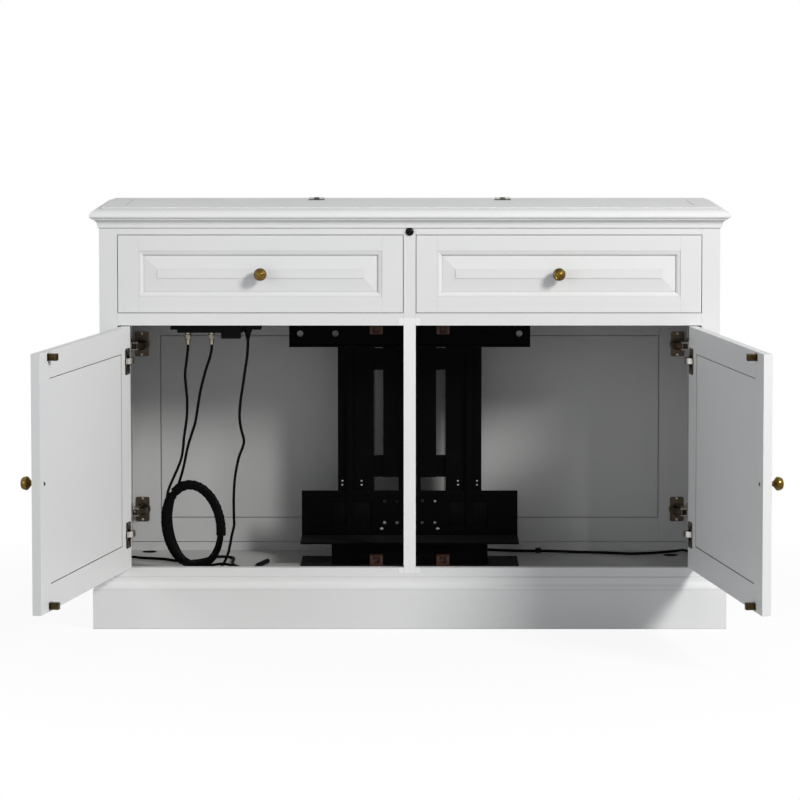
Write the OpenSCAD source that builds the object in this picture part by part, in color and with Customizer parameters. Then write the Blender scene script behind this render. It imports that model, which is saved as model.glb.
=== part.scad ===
// Lift console: a painted cabinet with two pairs of doors, two shallow drawers
// and a powered lift that raises a screen through a lid in the top.
// Millimetres, +Z up, +Y towards the back. The origin is on the ground at the centre of the case.
// The rest position has the front doors open and everything else closed.

/* [Case] */
// Width of the case across its face frame
case_w = 1339; // [1300:1:1420]
// Depth of the case from its front face to its back face
case_d = 380; // [376:1:410]
// Thickness of the boards of the sides, floor and doors
board_t = 18; // [17:0.5:20]
// Thickness of the front and back face frames
face_t = 19; // [18:0.5:22]
// Width of the outer stiles of the face frames
stile_w = 39; // [36:1:44]
// Width of the middle stile of the face frames
mid_stile_w = 26; // [24:1:34]
// Running gap around a door, drawer or lid
gap = 1.5; // [1:0.1:2]

/* [Heights from the ground up] */
// Height of the plinth
plinth_h = 85; // [75:1:110]
// Height of the base moulding on the plinth
base_h = 25.5; // [23:0.5:30]
// Height of the bottom rail that shows over the base moulding
bottom_reveal = 21; // [18:1:26]
// Height of the door openings
door_open_h = 527.5; // [515:0.5:600]
// Height of the rail between doors and drawers
mid_rail_h = 26.5; // [24:0.5:34]
// Height of the drawer openings
drawer_open_h = 170; // [160:1:200]
// Height of the top rail that shows under the cove moulding
top_reveal = 15; // [12:1:24]
// Height of the cove moulding under the top
cove_h = 20.5; // [18:0.5:26]
// Thickness of the top
top_t = 23; // [21:0.5:28]

/* [Plinth, mouldings and top] */
// How far the plinth stands proud of the case
plinth_proud = 16; // [15:0.5:22]
// How far the top overhangs the case
overhang = 20; // [17:0.5:26]
// Depth of the fixed front board of the top behind the case front
top_front_d = 95.5; // [92:0.5:100]
// Depth of the fixed back board of the top in front of the case back
top_back_d = 80; // [76:1:84]
// Width of the fixed end boards of the top inside the case ends
top_end_w = 50; // [44:1:70]
// Thickness of the lid
lid_t = 20; // [16:0.5:20.5]
// Width of one lid hinge
lid_hinge_w = 35; // [28:1:60]
// Distance of each lid hinge from the middle
lid_hinge_x = 208; // [150:1:400]

/* [Doors and drawers] */
// Flat width of a door stile
door_stile = 54; // [48:1:64]
// Flat width of a door rail
door_rail = 44; // [38:1:60]
// Flat width of a drawer front's stile
drawer_stile = 45; // [38:1:60]
// Flat width of a drawer front's rail
drawer_rail = 34; // [30:1:36]
// Width of the moulded edge around each panel
stick_w = 10; // [8:0.5:11]
// Width of the bevel around each raised field
bevel_w = 30; // [22:1:32]
// Angle at which the left front door stands open
left_open_angle = 102.4; // [90:0.1:105]
// Angle at which the right front door stands open
right_open_angle = 99.3; // [90:0.1:105]
// Diameter of a knob
knob_d = 28; // [24:1:34]
// Projection of a knob
knob_out = 31; // [24:1:36]
// Distance of a door knob from the free edge
knob_inset = 26; // [22:1:32]
// Distance of a hinge from the end of a door
hinge_inset = 74; // [60:1:120]
// Depth of a drawer box behind its front
drawer_box_d = 62; // [50:1:62]
// Height of a drawer box
drawer_box_h = 110; // [80:1:140]

/* [Lift] */
// Width of the screen crossbar
crossbar_w = 536; // [480:1:640]
// Height of the screen crossbar
crossbar_h = 52; // [44:1:60]
// Distance of the two outer fixing holes of the crossbar from the middle
fixing_outer_x = 243.5; // [215:0.5:246]
// Distance of the two inner fixing holes of the crossbar from the middle
fixing_inner_x = 165; // [150:1:190]
// Diameter of the fixing holes of the crossbar
fixing_d = 14; // [10:1:16]
// Width of the carriage plate and its shelf
carriage_w = 481; // [460:1:560]
// Height of the carriage plate
carriage_h = 104; // [98:1:130]
// Reach of the shelf in front of the carriage plate
shelf_reach = 108; // [80:1:108]
// Inner edge of a column from the middle
column_in_x = 80; // [76:1:90]
// Width of a column
column_w = 80; // [74:1:96]
// Half the width of the mast box
mast_half_w = 59; // [50:1:62]

/* [Cables] */
// Diameter of the leads
lead_d = 6; // [5:0.1:6]
// Turns of the taped coil of the motor lead
coil_turns = 4.4; // [3.4:1:5.4]
// Turns of the coil of the mains lead
mains_turns = 4; // [2:1:6]
// Diameter of the spare grommet holes in the floor
grommet_d = 35; // [30:1:40]

/* [Hidden] */

// Fits and small steps
joint_gap = 0.2;        // hairline between two boards of one frame
slide_gap = 0.3;        // running fit of a slide
eps = 0.01;

// Levels
z_base_top = plinth_h + base_h;
z_door_low = z_base_top + bottom_reveal;
z_door_high = z_door_low + door_open_h;
z_drawer_low = z_door_high + mid_rail_h;
z_drawer_high = z_drawer_low + drawer_open_h;
z_cove_low = z_drawer_high + top_reveal;
z_top_low = z_cove_low + cove_h;
total_h = z_top_low + top_t;
floor_drop = 18.5;
z_floor = z_door_low - floor_drop;

// Planes of the case
half_w = case_w / 2;
half_d = case_d / 2;
in_half_w = half_w - board_t;
in_half_d = half_d - face_t;
open_edge_x = half_w - stile_w;
open_w = open_edge_x - mid_stile_w / 2;
open_mid_x = (open_edge_x + mid_stile_w / 2) / 2;
door_w = open_w - 2 * gap;
door_h = door_open_h - 2 * gap;
z_door = z_door_low + gap;
drawer_h = drawer_open_h - 2 * gap;
z_drawer = z_drawer_low + gap;

// Lid and bay
lid_half_w = half_w - top_end_w - gap;
lid_front_y = -half_d + top_front_d + gap;
lid_back_y = half_d - top_back_d - gap;
lid_pin_y = lid_back_y + gap / 2;
lid_leaf_t = 1.2;
lid_knuckle_r = 3;
lid_pin_z = total_h + lid_knuckle_r;
divider_t = 10;
divider_back_y = -half_d + top_front_d - 0.5;
divider_front_y = divider_back_y - divider_t;
ledge_d = 12;
ledge_h = 14;

// Panel work: the moulded edge, the groove and the panel's tongue, measured from the face
quirk = 1.2;
lip_y = 6.5;
tongue_t = 5.4;
tongue_in = 7;
groove_in = 8;
field_y = 1.5;
field_step = 1.2;
panel_back_y = board_t - 1;
panel_back_in = 2;

// Door hinges
pivot_in = 4.5;
pivot_out = 3;
pivot_x = open_edge_x - gap - pivot_in;
pivot_y = -half_d - pivot_out;
cup_d = 35;
cup_deep = 11.5;
cup_from_edge = 22.5;
cup_x = open_edge_x - gap - cup_from_edge;
flange_w = 31;
flange_h = 56;
flange_t = 1.5;
hinge_zs = [z_door + hinge_inset, z_door + door_h - hinge_inset];
door_back_y = -half_d + board_t;
pin_clear = 0.1;
link_pin = [cup_x + 3.5, door_back_y - 3];
link_pin_r = 1.8;
link_eye_r = 3.6;
link_w = 4.4;
link_h = 12;
link_line = [[0, 0], [-10, 7], [-14, 18], [-9, 34], [5.5, 48]];

// Catches
strike_from_edge = 58;
strike_x = mid_stile_w / 2 + gap + strike_from_edge;
strike_in = 11;
tongue_w = 12;
tongue_h = 12;
strike_out = 17;
catch_w = 28;
catch_clear = 1.5;
mouth_w = tongue_w + 2 * catch_clear;
mouth_h = tongue_h + 2 * catch_clear;
catch_front_y = door_back_y + strike_out - 7;
catch_d = 24;

// Lift levels and planes
base_plate_t = 3;
z_base_plate = z_floor + base_plate_t;
z_lift_top = z_door_high - 16;
z_crossbar = z_lift_top - crossbar_h;
z_mast_top = z_crossbar - 3;
z_plate = z_floor + 52;
z_plate_top = z_plate + carriage_h;
plate_y = 30;
sheet_t = 3;
shelf_t = 4;
strap_in_x = 126;
strap_w = 14;
rail_half_w = 20;
rail_t = 4.5;
mast_front_y = plate_y + sheet_t + rail_t + 0.5;
column_d = 30;
motor_h = 44;
z_motor_top = z_base_plate + motor_h;
mast_d = 30;
mast_wall = 3;
z_mast_low = z_plate_top + 75;
upper_tie_h = 47;
lower_tie_h = 46;
slide_low = 14;
tube_half_w = 24.5;
tube_d = 20;
rod_d = 14;
tube_y = mast_front_y + mast_d / 2;
z_tube_top = z_mast_top - 28;
z_rod_low = z_motor_top + 15;

// Smooth corners as points
function rounded(w, d, r, n = 4) = [
    for (c = [[1, 1, 0], [-1, 1, 90], [-1, -1, 180], [1, -1, 270]], i = [0:n])
        let (a = c[2] + 90 * i / n)
        [c[0] * (w / 2 - r) + r * cos(a), c[1] * (d / 2 - r) + r * sin(a)]];

module both_sides() {
    children();
    mirror([1, 0, 0]) children();
}

module front_and_back() {
    children();
    mirror([0, 1, 0]) children();
}

// A box from its lowest corner to its highest
module block(low, high) {
    translate(low) cube(high - low);
}

module rounded_slab(w, d, h, r) {
    linear_extrude(h) polygon(rounded(w, d, r));
}

// Mouldings run along the four sides of a rectangle and meet in mitres.
// A profile is [distance out from the case, height].
module mitred_run(w, d, profile, reach, back) {
    intersection() {
        translate([w / 2 + reach, -d / 2, 0]) rotate([90, 0, -90])
            linear_extrude(w + 2 * reach) polygon(profile);
        translate([0, 0, -1]) linear_extrude(200) polygon([
            [-w / 2 - reach + joint_gap, -d / 2 - reach], [w / 2 + reach - joint_gap, -d / 2 - reach],
            [w / 2 - back - joint_gap, -d / 2 + back], [-w / 2 + back + joint_gap, -d / 2 + back]]);
    }
}

module mitred_ring(profile, reach, back) {
    for (turn = [0:3])
        rotate([0, 0, 90 * turn])
            if (turn % 2 == 0) mitred_run(case_w, case_d, profile, reach, back);
            else mitred_run(case_d, case_w, profile, reach, back);
}

plinth_t = 18;
bearer_w = 38;
module plinth() {
    color("white") {
        mitred_ring([[plinth_proud - plinth_t, 0], [plinth_proud, 0], [plinth_proud, plinth_h],
            [plinth_proud - plinth_t, plinth_h]], plinth_proud, plinth_t - plinth_proud);
        inner_d = half_d + plinth_proud - plinth_t;
        block([-bearer_w / 2, -inner_d + joint_gap, 0], [bearer_w / 2, inner_d - joint_gap, plinth_h]);
    }
}

base_out = plinth_proud - 1.5;
base_fillet = 4;
module base_moulding() {
    fillet_h = base_h - 3.5;
    turn_out = (base_out + base_fillet) / 2 + 1;
    turn_h = fillet_h * 0.42;
    low_h = 2.5;
    color("white") translate([0, 0, plinth_h]) mitred_ring(concat(
        [[0, 0], [base_out, 0], [base_out, low_h]],
        [for (a = [15:15:75])
            [turn_out + (base_out - turn_out) * cos(a), low_h + (turn_h - low_h) * sin(a)]],
        [for (a = [0:15:90]) [base_fillet + (turn_out - base_fillet) * (1 - sin(a)),
            fillet_h - (fillet_h - turn_h) * cos(a)]],
        [[base_fillet, base_h - 1], [base_fillet - 1, base_h], [0, base_h]]), base_out, 0);
}

slot_w = 20;
slot_len = 36;
lead_slot_x = in_half_w - 14.5;
left_slot_y = 34;
right_slot_y = half_d - 58;
module lead_slot(x, y) {
    translate([x, y, 0]) {
        for (end = [-1, 1]) translate([0, end * (slot_len - slot_w) / 2, -1])
            cylinder(d = slot_w, h = 40, $fn = 32);
        translate([-slot_w / 2, -(slot_len - slot_w) / 2, -1]) cube([slot_w, slot_len - slot_w, 40]);
    }
}

left_grommet = [40.5 - open_edge_x, half_d - 42];
right_grommet = [open_edge_x - 42.5, half_d - 90];
module floor_board() {
    color("white") translate([0, 0, z_floor - board_t]) difference() {
        block([-in_half_w, -in_half_d, 0], [in_half_w, in_half_d, board_t]);
        for (at = [left_grommet, right_grommet])
            translate([at[0], at[1], -1]) cylinder(d = grommet_d, h = board_t + 2, $fn = 48);
        lead_slot(-lead_slot_x, left_slot_y);
        lead_slot(lead_slot_x, right_slot_y);
    }
}

// Cross-section of a stile or rail: outer edge at 0, face at 0, moulded edge and groove inside
function edge_curve(flat) = [
    for (a = [0:15:90]) [flat + stick_w * sin(a), lip_y - (lip_y - quirk) * cos(a)]];
function bar_profile(flat) = concat([[0, 0], [flat, 0]], edge_curve(flat), [
    [flat + stick_w - groove_in, lip_y], [flat + stick_w - groove_in, lip_y + tongue_t + 0.4],
    [flat + stick_w, lip_y + tongue_t + 0.4], [flat + stick_w, board_t], [0, board_t]]);
function cope_profile(flat) = concat([[-eps, -eps], [flat, -eps]], edge_curve(flat),
    [[flat + stick_w, board_t + eps], [-eps, board_t + eps]]);

module stile_bar(flat, h) {
    linear_extrude(h) polygon(bar_profile(flat));
}

// A rail is cut at both ends to sit over the moulded edges of the stiles
module rail_bar(w, stile, flat, h_cut) {
    difference() {
        translate([w / 2 - stile, 0, 0]) rotate([0, -90, 0]) linear_extrude(w - 2 * stile)
            polygon(bar_profile(flat));
        both_sides() translate([-w / 2 + joint_gap, 0, -1]) linear_extrude(h_cut)
            polygon(cope_profile(stile));
    }
}

module cope_frame(w, h, stile, rail_low, rail_high) {
    both_sides() translate([-w / 2, 0, 0]) stile_bar(stile, h);
    rail_bar(w, stile, rail_low, h);
    translate([0, 0, h]) mirror([0, 0, 1]) rail_bar(w, stile, rail_high, h);
}

// Cross-section of a raised panel over a sight opening
function panel_profile(sight) = let (e = sight / 2 + tongue_in, s = sight / 2) [
    [-e, lip_y + 0.2], [-s, lip_y + 0.2], [-s + bevel_w, field_y + field_step], [-s + bevel_w, field_y],
    [s - bevel_w, field_y], [s - bevel_w, field_y + field_step], [s, lip_y + 0.2], [e, lip_y + 0.2],
    [e, lip_y + tongue_t], [s - panel_back_in, lip_y + tongue_t], [s - panel_back_in, panel_back_y],
    [-s + panel_back_in, panel_back_y], [-s + panel_back_in, lip_y + tongue_t], [-e, lip_y + tongue_t]];

module raised_panel(w, h, stile, rail_low, rail_high) {
    sight_w = w - 2 * (stile + stick_w);
    sight_h = h - rail_low - rail_high - 2 * stick_w;
    translate([0, 0, rail_low + stick_w + sight_h / 2]) intersection() {
        translate([0, 0, -sight_h / 2 - tongue_in]) linear_extrude(sight_h + 2 * tongue_in)
            polygon(panel_profile(sight_w));
        translate([sight_w / 2 + tongue_in, 0, 0]) rotate([0, -90, 0]) linear_extrude(sight_w + 2 * tongue_in)
            polygon(panel_profile(sight_h));
    }
}

module framed_panel(w, h, stile, rail_low, rail_high) {
    cope_frame(w, h, stile, rail_low, rail_high);
    raised_panel(w, h, stile, rail_low, rail_high);
}

// Each side is two framed panels, parted level with the rail between doors and drawers
module case_sides() {
    z_part = z_door_high + mid_rail_h / 2;
    color("white") both_sides() translate([half_w, 0, 0]) rotate([0, 0, 90]) {
        translate([0, 0, plinth_h])
            framed_panel(2 * in_half_d, z_part - plinth_h - joint_gap, door_stile,
                z_door_low - plinth_h + mid_rail_h, mid_rail_h);
        translate([0, 0, z_part])
            framed_panel(2 * in_half_d, z_top_low - z_part, door_stile, mid_rail_h,
                z_top_low - z_drawer_high);
    }
}

ir_z = z_cove_low - 8.5;
ir_hole_d = 12;
module stiles(eye) {
    difference() {
        block([-mid_stile_w / 2, -half_d, plinth_h], [mid_stile_w / 2, -in_half_d, z_top_low]);
        if (eye) translate([0, -half_d - 1, ir_z]) rotate([-90, 0, 0])
            cylinder(d = ir_hole_d, h = face_t + 2, $fn = 32);
    }
    both_sides() block([open_edge_x, -half_d, plinth_h], [half_w, -in_half_d, z_top_low]);
}

module rails() {
    both_sides() for (z = [[plinth_h, z_door_low], [z_door_high, z_drawer_low], [z_drawer_high, z_top_low]])
        block([mid_stile_w / 2 + joint_gap, -half_d, z[0]], [open_edge_x - joint_gap, -in_half_d, z[1]]);
}

// A face frame: outer and middle stiles with rails between them
module front_frame() {
    color("white") {
        stiles(true);
        rails();
    }
}

module back_frame() {
    color("white") mirror([0, 1, 0]) {
        stiles(false);
        rails();
    }
}

// Fixed framed panels fill the upper back openings
module back_panels() {
    color("white") both_sides() translate([open_mid_x, half_d, z_drawer_low]) mirror([0, 1, 0])
        framed_panel(open_w, drawer_open_h, drawer_stile, drawer_rail, drawer_rail);
}

cove_out = 15;
cove_in = 3;
cove_lip = 2.5;
module crown_moulding() {
    cove_z = cove_h - cove_lip;
    color("white") translate([0, 0, z_cove_low]) mitred_ring(concat(
        [[0, 0], [cove_in, 0], [cove_in, cove_lip]],
        [for (a = [15:15:90]) [cove_out - (cove_out - cove_in) * cos(a),
            cove_lip + (cove_z - cove_lip) * sin(a)]],
        [[cove_out, cove_h], [0, cove_h]]), cove_out, 0);
}

// The boards of the top have a quirk and a long round on the outer edge
nose_w = 24;
nose_step = 2.5;
nose_under = 5;
function top_profile(inner) = concat(
    [[-inner, 0], [overhang - nose_under, 0]],
    [for (a = [22.5:22.5:90]) [overhang - nose_under + nose_under * sin(a), nose_under * (1 - cos(a))]],
    [for (a = [15:15:90]) [overhang - nose_w + nose_w * cos(a),
        nose_under + (top_t - nose_step - nose_under) * sin(a)]],
    [[overhang - nose_w, top_t], [-inner, top_t]]);

module top_board(w, d, inner, end_w) {
    edge_x = w / 2 + overhang;
    edge_y = d / 2 + overhang;
    end_x = w / 2 - end_w;
    intersection() {
        translate([edge_x, -d / 2, 0]) rotate([90, 0, -90]) linear_extrude(2 * edge_x)
            polygon(top_profile(inner));
        translate([0, 0, -1]) linear_extrude(top_t + 2) polygon([
            [-edge_x + joint_gap, -edge_y], [edge_x - joint_gap, -edge_y],
            [end_x - joint_gap, -edge_y + end_w + overhang], [end_x - joint_gap, -d / 2 + inner + 1],
            [-end_x + joint_gap, -d / 2 + inner + 1], [-end_x + joint_gap, -edge_y + end_w + overhang]]);
    }
}

module top_border() {
    color("white") translate([0, 0, z_top_low]) {
        top_board(case_w, case_d, top_front_d, top_end_w);
        rotate([0, 0, 180]) top_board(case_w, case_d, top_back_d, top_end_w);
        both_sides() rotate([0, 0, 90])
            mitred_run(case_d, case_w, top_profile(top_end_w), overhang, top_end_w);
    }
}

runner_w = 20;
runner_h = gap + 1.2;
box_wall = 12;
box_half_w = open_w / 2 - 12;
module drawer_deck() {
    color("white") {
        block([-in_half_w, -in_half_d, z_drawer_low - board_t], [in_half_w, divider_back_y, z_drawer_low]);
        both_sides() for (end = [-1, 1])
            translate([open_mid_x + end * (box_half_w - runner_w / 2), 0, 0])
                block([-runner_w / 2, -in_half_d, z_drawer_low],
                    [runner_w / 2, divider_front_y, z_drawer_low + runner_h]);
    }
}

// Board between the drawers and the screen bay, with the ledge that the closed lid lies on
module bay_divider() {
    color("white") {
        block([-in_half_w, divider_front_y, z_drawer_low], [in_half_w, divider_back_y, z_top_low]);
        ledge_top = total_h - lid_t - slide_gap;
        block([-lid_half_w, divider_back_y, ledge_top - ledge_h],
            [lid_half_w, divider_back_y + ledge_d, z_top_low]);
        block([-lid_half_w, -half_d + top_front_d + joint_gap, z_top_low - 1],
            [lid_half_w, divider_back_y + ledge_d, ledge_top]);
    }
}

block_h = 76;
block_d = 60;
module hinge_blocks() {
    color("white") both_sides() front_and_back() for (z = hinge_zs)
        block([open_edge_x, -in_half_d, z - block_h / 2], [in_half_w, -in_half_d + block_d, z + block_h / 2]);
}

// Case halves of the concealed hinges: a plate on the block and a channel for the link's end
module hinge_arms() {
    plate_t = 3;
    plate_h = 32;
    cheek_t = 2.4;
    web_t = 2;
    front_y = door_back_y + 5;
    back_y = front_y + 49;
    channel_x = [cup_x + 5, open_edge_x - plate_t];
    color("silver") both_sides() front_and_back() for (z = hinge_zs) translate([0, 0, z]) {
        block([channel_x[1], front_y + 8, -plate_h / 2], [open_edge_x, back_y + 6, plate_h / 2]);
        for (end = [0, 1]) mirror([0, 0, end])
            block([channel_x[0], front_y, link_h / 2 + slide_gap],
                [channel_x[1] + eps, back_y, link_h / 2 + slide_gap + cheek_t]);
        block([channel_x[1] - web_t, front_y, -link_h / 2 - slide_gap - eps],
            [channel_x[1] + eps, back_y, link_h / 2 + slide_gap + eps]);
    }
}

// Spring catches behind the rails: a body with a mouth for the tongue on the door
module catch_body(z_low, z_high, z_tongue) {
    difference() {
        block([strike_x - catch_w / 2, catch_front_y, z_low],
            [strike_x + catch_w / 2, catch_front_y + catch_d, z_high]);
        block([strike_x - mouth_w / 2, catch_front_y - 1, z_tongue - mouth_h / 2],
            [strike_x + mouth_w / 2, catch_front_y + catch_d / 2, z_tongue + mouth_h / 2]);
    }
}

catch_roof = 1.5;
strike_zs = [z_door + strike_in, z_door + door_h - strike_in];
module catch_bodies() {
    half = mouth_h / 2 + catch_roof;
    color("sienna") both_sides() {
        catch_body(z_floor, strike_zs[0] + half, strike_zs[0]);
        catch_body(strike_zs[1] - half, z_drawer_low - board_t, strike_zs[1]);
    }
}

module lid() {
    color("white") block([-lid_half_w, lid_front_y, total_h - lid_t], [lid_half_w, lid_back_y, total_h]);
}

leaf_reach = 15;
leaf_from_pin = lid_knuckle_r + 0.6;
knuckle_share = 0.34;
// Leaves on the fixed back board carry the two outer knuckles and the pin
module lid_hinge_leaves() {
    outer_w = lid_hinge_w * (1 - knuckle_share) / 2;
    color("dimgray") both_sides() translate([lid_hinge_x, lid_pin_y, lid_pin_z]) {
        block([-lid_hinge_w / 2, leaf_from_pin, -lid_knuckle_r],
            [lid_hinge_w / 2, leaf_reach, -lid_knuckle_r + lid_leaf_t]);
        for (end = [-1, 1]) translate([end * (lid_hinge_w - outer_w) / 2 - outer_w / 2, 0, 0]) {
            rotate([0, 90, 0]) cylinder(r = lid_knuckle_r, h = outer_w, $fn = 32);
            block([0, 0, -lid_knuckle_r], [outer_w, leaf_from_pin + eps, -lid_knuckle_r + lid_leaf_t]);
        }
        translate([-lid_hinge_w / 2, 0, 0]) rotate([0, 90, 0])
            cylinder(r = 1.4, h = lid_hinge_w, $fn = 24);
    }
}

// Leaves on the lid carry the middle knuckle
module lid_hinge_knuckles() {
    mid_w = lid_hinge_w * knuckle_share - 2 * slide_gap;
    color("dimgray") both_sides() translate([lid_hinge_x, lid_pin_y, lid_pin_z]) {
        block([-lid_hinge_w / 2, -leaf_reach, -lid_knuckle_r],
            [lid_hinge_w / 2, -leaf_from_pin, -lid_knuckle_r + lid_leaf_t]);
        difference() {
            union() {
                translate([-mid_w / 2, 0, 0]) rotate([0, 90, 0])
                    cylinder(r = lid_knuckle_r, h = mid_w, $fn = 32);
                block([-mid_w / 2, -lid_knuckle_r - 1, -lid_knuckle_r],
                    [mid_w / 2, 0, -lid_knuckle_r + lid_leaf_t]);
            }
            translate([-mid_w / 2 - 1, 0, 0]) rotate([0, 90, 0]) cylinder(r = 1.6, h = mid_w + 2, $fn = 24);
        }
    }
}

// Doors are drawn closed on the right, in front. The front pair then swings open on its pivot.
module swing(angle) {
    translate([pivot_x, pivot_y, 0]) rotate([0, 0, angle]) translate([-pivot_x, -pivot_y, 0]) children();
}

module front_door_place(side) {
    if (side > 0) swing(right_open_angle) children();
    else mirror([1, 0, 0]) swing(left_open_angle) children();
}

module rear_door_place(side) {
    if (side > 0) mirror([0, 1, 0]) children();
    else mirror([1, 0, 0]) mirror([0, 1, 0]) children();
}

knob_z = z_door + door_h / 2;
knob_x = mid_stile_w / 2 + gap + knob_inset;
shank_d = 4.4;
shank_hole_d = 5;
module door_frame() {
    difference() {
        translate([open_mid_x, -half_d, z_door]) cope_frame(door_w, door_h, door_stile, door_rail, door_rail);
        translate([knob_x, -half_d - 1, knob_z]) rotate([-90, 0, 0])
            cylinder(d = shank_hole_d, h = board_t + 2, $fn = 24);
        for (z = hinge_zs) translate([cup_x, door_back_y + 1, z]) rotate([90, 0, 0])
            cylinder(d = cup_d + 0.4, h = cup_deep + 1.3, $fn = 48);
    }
}

module door_panel() {
    translate([open_mid_x, -half_d, z_door]) raised_panel(door_w, door_h, door_stile, door_rail, door_rail);
}

// Door halves of the concealed hinges: a drilled-in cup with its flange and the pin of the link
module door_hinges() {
    cup_bore_r = cup_d / 2 - 4;
    for (z = hinge_zs) translate([0, 0, z]) {
        translate([cup_x, door_back_y, 0]) difference() {
            union() {
                rotate([-90, 0, 0]) rounded_slab(flange_w, flange_h, flange_t, 4);
                rotate([90, 0, 0]) cylinder(d = cup_d, h = cup_deep, $fn = 48);
            }
            translate([0, flange_t + 1, 0]) rotate([90, 0, 0])
                cylinder(r = cup_bore_r, h = flange_t + cup_deep, $fn = 48);
            for (end = [-1, 1]) translate([0, flange_t + eps, end * (flange_h / 2 - 4)])
                rotate([90, 0, 0]) cylinder(d = 3.2, h = 0.8, $fn = 24);
        }
        translate([link_pin[0], link_pin[1], -cup_bore_r])
            cylinder(r = link_pin_r, h = 2 * cup_bore_r, $fn = 24);
    }
}

// Links of the hinges: an arched arm from the pin in the cup round the door's edge to the channel.
// It keeps its direction while the door turns, so it only moves along with the pin.
function band(p, half) = let (n = [for (t = tangents(p)) half * [-t[1], t[0]]], last = len(p) - 1)
    concat([for (i = [0:last]) p[i] + n[i]], [for (i = [last:-1:0]) p[i] - n[i]]);
function swung(at, angle) = let (x = at[0] - pivot_x, y = at[1] - pivot_y)
    [pivot_x + x * cos(angle) - y * sin(angle), pivot_y + x * sin(angle) + y * cos(angle)];

module door_links(angle) {
    at = swung(link_pin, angle);
    for (z = hinge_zs) translate([at[0], at[1], z - link_h / 2]) difference() {
        union() {
            linear_extrude(link_h) polygon(band(smooth_route(link_line, 6), link_w / 2));
            for (eye = [link_line[0], link_line[len(link_line) - 1]]) translate(eye)
                cylinder(r = link_eye_r, h = link_h, $fn = 32);
        }
        translate([0, 0, -1]) cylinder(r = link_pin_r + pin_clear, h = link_h + 2, $fn = 24);
    }
}

module door_strikes() {
    base = [22, 2, 20];
    for (z = strike_zs) translate([strike_x, door_back_y, z]) {
        block([-base[0] / 2, 0, -base[2] / 2], [base[0] / 2, base[1], base[2] / 2]);
        translate([0, 0, -tongue_h / 2]) linear_extrude(tongue_h) polygon([
            [-tongue_w / 2, 0], [tongue_w / 2, 0], [tongue_w / 2, strike_out - 5],
            [tongue_w / 2 - 3, strike_out], [3 - tongue_w / 2, strike_out], [-tongue_w / 2, strike_out - 5]]);
    }
}

// Turned knob on its screw: foot, neck and a dished head with a ring and a button
module knob(through) {
    r = knob_d / 2;
    h = knob_out;
    rotate([90, 0, 0]) rotate_extrude($fn = 48) polygon([
        [0, 0], [r * 0.66, 0], [r * 0.66, 1.8], [r * 0.48, 3.4], [r * 0.4, h * 0.22], [r * 0.4, h * 0.35],
        [r * 0.56, h * 0.41], [r * 0.88, h * 0.48], [r, h * 0.54], [r, h * 0.66], [r * 0.94, h * 0.78],
        [r * 0.82, h * 0.88], [r * 0.68, h * 0.93], [r * 0.58, h * 0.91], [r * 0.5, h * 0.92],
        [r * 0.42, h * 0.97], [r * 0.26, h], [0, h]]);
    rotate([-90, 0, 0]) {
        cylinder(d = shank_d, h = through + 0.5, $fn = 24);
        translate([0, 0, through]) cylinder(d1 = 9, d2 = 7, h = 1.6, $fn = 24);
    }
}

module door_knob() {
    translate([knob_x, -half_d, knob_z]) knob(board_t);
}

module left_door_frame() { color("white") front_door_place(-1) door_frame(); }
module left_door_panel() { color("white") front_door_place(-1) door_panel(); }
module left_door_hinges() { color("peru") front_door_place(-1) door_hinges(); }
module left_door_links() { color("silver") mirror([1, 0, 0]) door_links(left_open_angle); }
module left_door_strikes() { color("goldenrod") front_door_place(-1) door_strikes(); }
module left_door_knob() { color("darkgoldenrod") front_door_place(-1) door_knob(); }
module right_door_frame() { color("white") front_door_place(1) door_frame(); }
module right_door_panel() { color("white") front_door_place(1) door_panel(); }
module right_door_hinges() { color("peru") front_door_place(1) door_hinges(); }
module right_door_links() { color("silver") door_links(right_open_angle); }
module right_door_strikes() { color("goldenrod") front_door_place(1) door_strikes(); }
module right_door_knob() { color("darkgoldenrod") front_door_place(1) door_knob(); }
module rear_left_door() { color("white") rear_door_place(-1) { door_frame(); door_panel(); } }
module rear_left_hinges() { color("peru") rear_door_place(-1) door_hinges(); }
module rear_left_links() { color("silver") rear_door_place(-1) door_links(0); }
module rear_left_knob() { color("darkgoldenrod") rear_door_place(-1) door_knob(); }
module rear_right_door() { color("white") rear_door_place(1) { door_frame(); door_panel(); } }
module rear_right_hinges() { color("peru") rear_door_place(1) door_hinges(); }
module rear_right_links() { color("silver") rear_door_place(1) door_links(0); }
module rear_right_knob() { color("darkgoldenrod") rear_door_place(1) door_knob(); }

// Drawers, drawn on the right
module drawer_place(side) {
    if (side > 0) children();
    else mirror([1, 0, 0]) children();
}

module drawer_front() {
    translate([open_mid_x, -half_d, z_drawer]) difference() {
        framed_panel(door_w, drawer_h, drawer_stile, drawer_rail, drawer_rail);
        translate([0, -1, drawer_h / 2]) rotate([-90, 0, 0])
            cylinder(d = shank_hole_d, h = board_t + 2, $fn = 24);
    }
}

box_low = z_drawer_low + runner_h + slide_gap;
module drawer_box() {
    back_y = door_back_y + drawer_box_d;
    bottom_t = 6;
    translate([open_mid_x, 0, box_low]) {
        both_sides() block([box_half_w - box_wall, door_back_y, 0], [box_half_w, back_y, drawer_box_h]);
        inner = box_half_w - box_wall - joint_gap;
        block([-inner, back_y - box_wall, 0], [inner, back_y, drawer_box_h]);
        block([-inner, door_back_y, 0], [inner, back_y - box_wall - joint_gap, bottom_t]);
    }
}

module drawer_knob() {
    translate([open_mid_x, -half_d + field_y, z_drawer + drawer_h / 2]) knob(panel_back_y - field_y);
}

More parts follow.
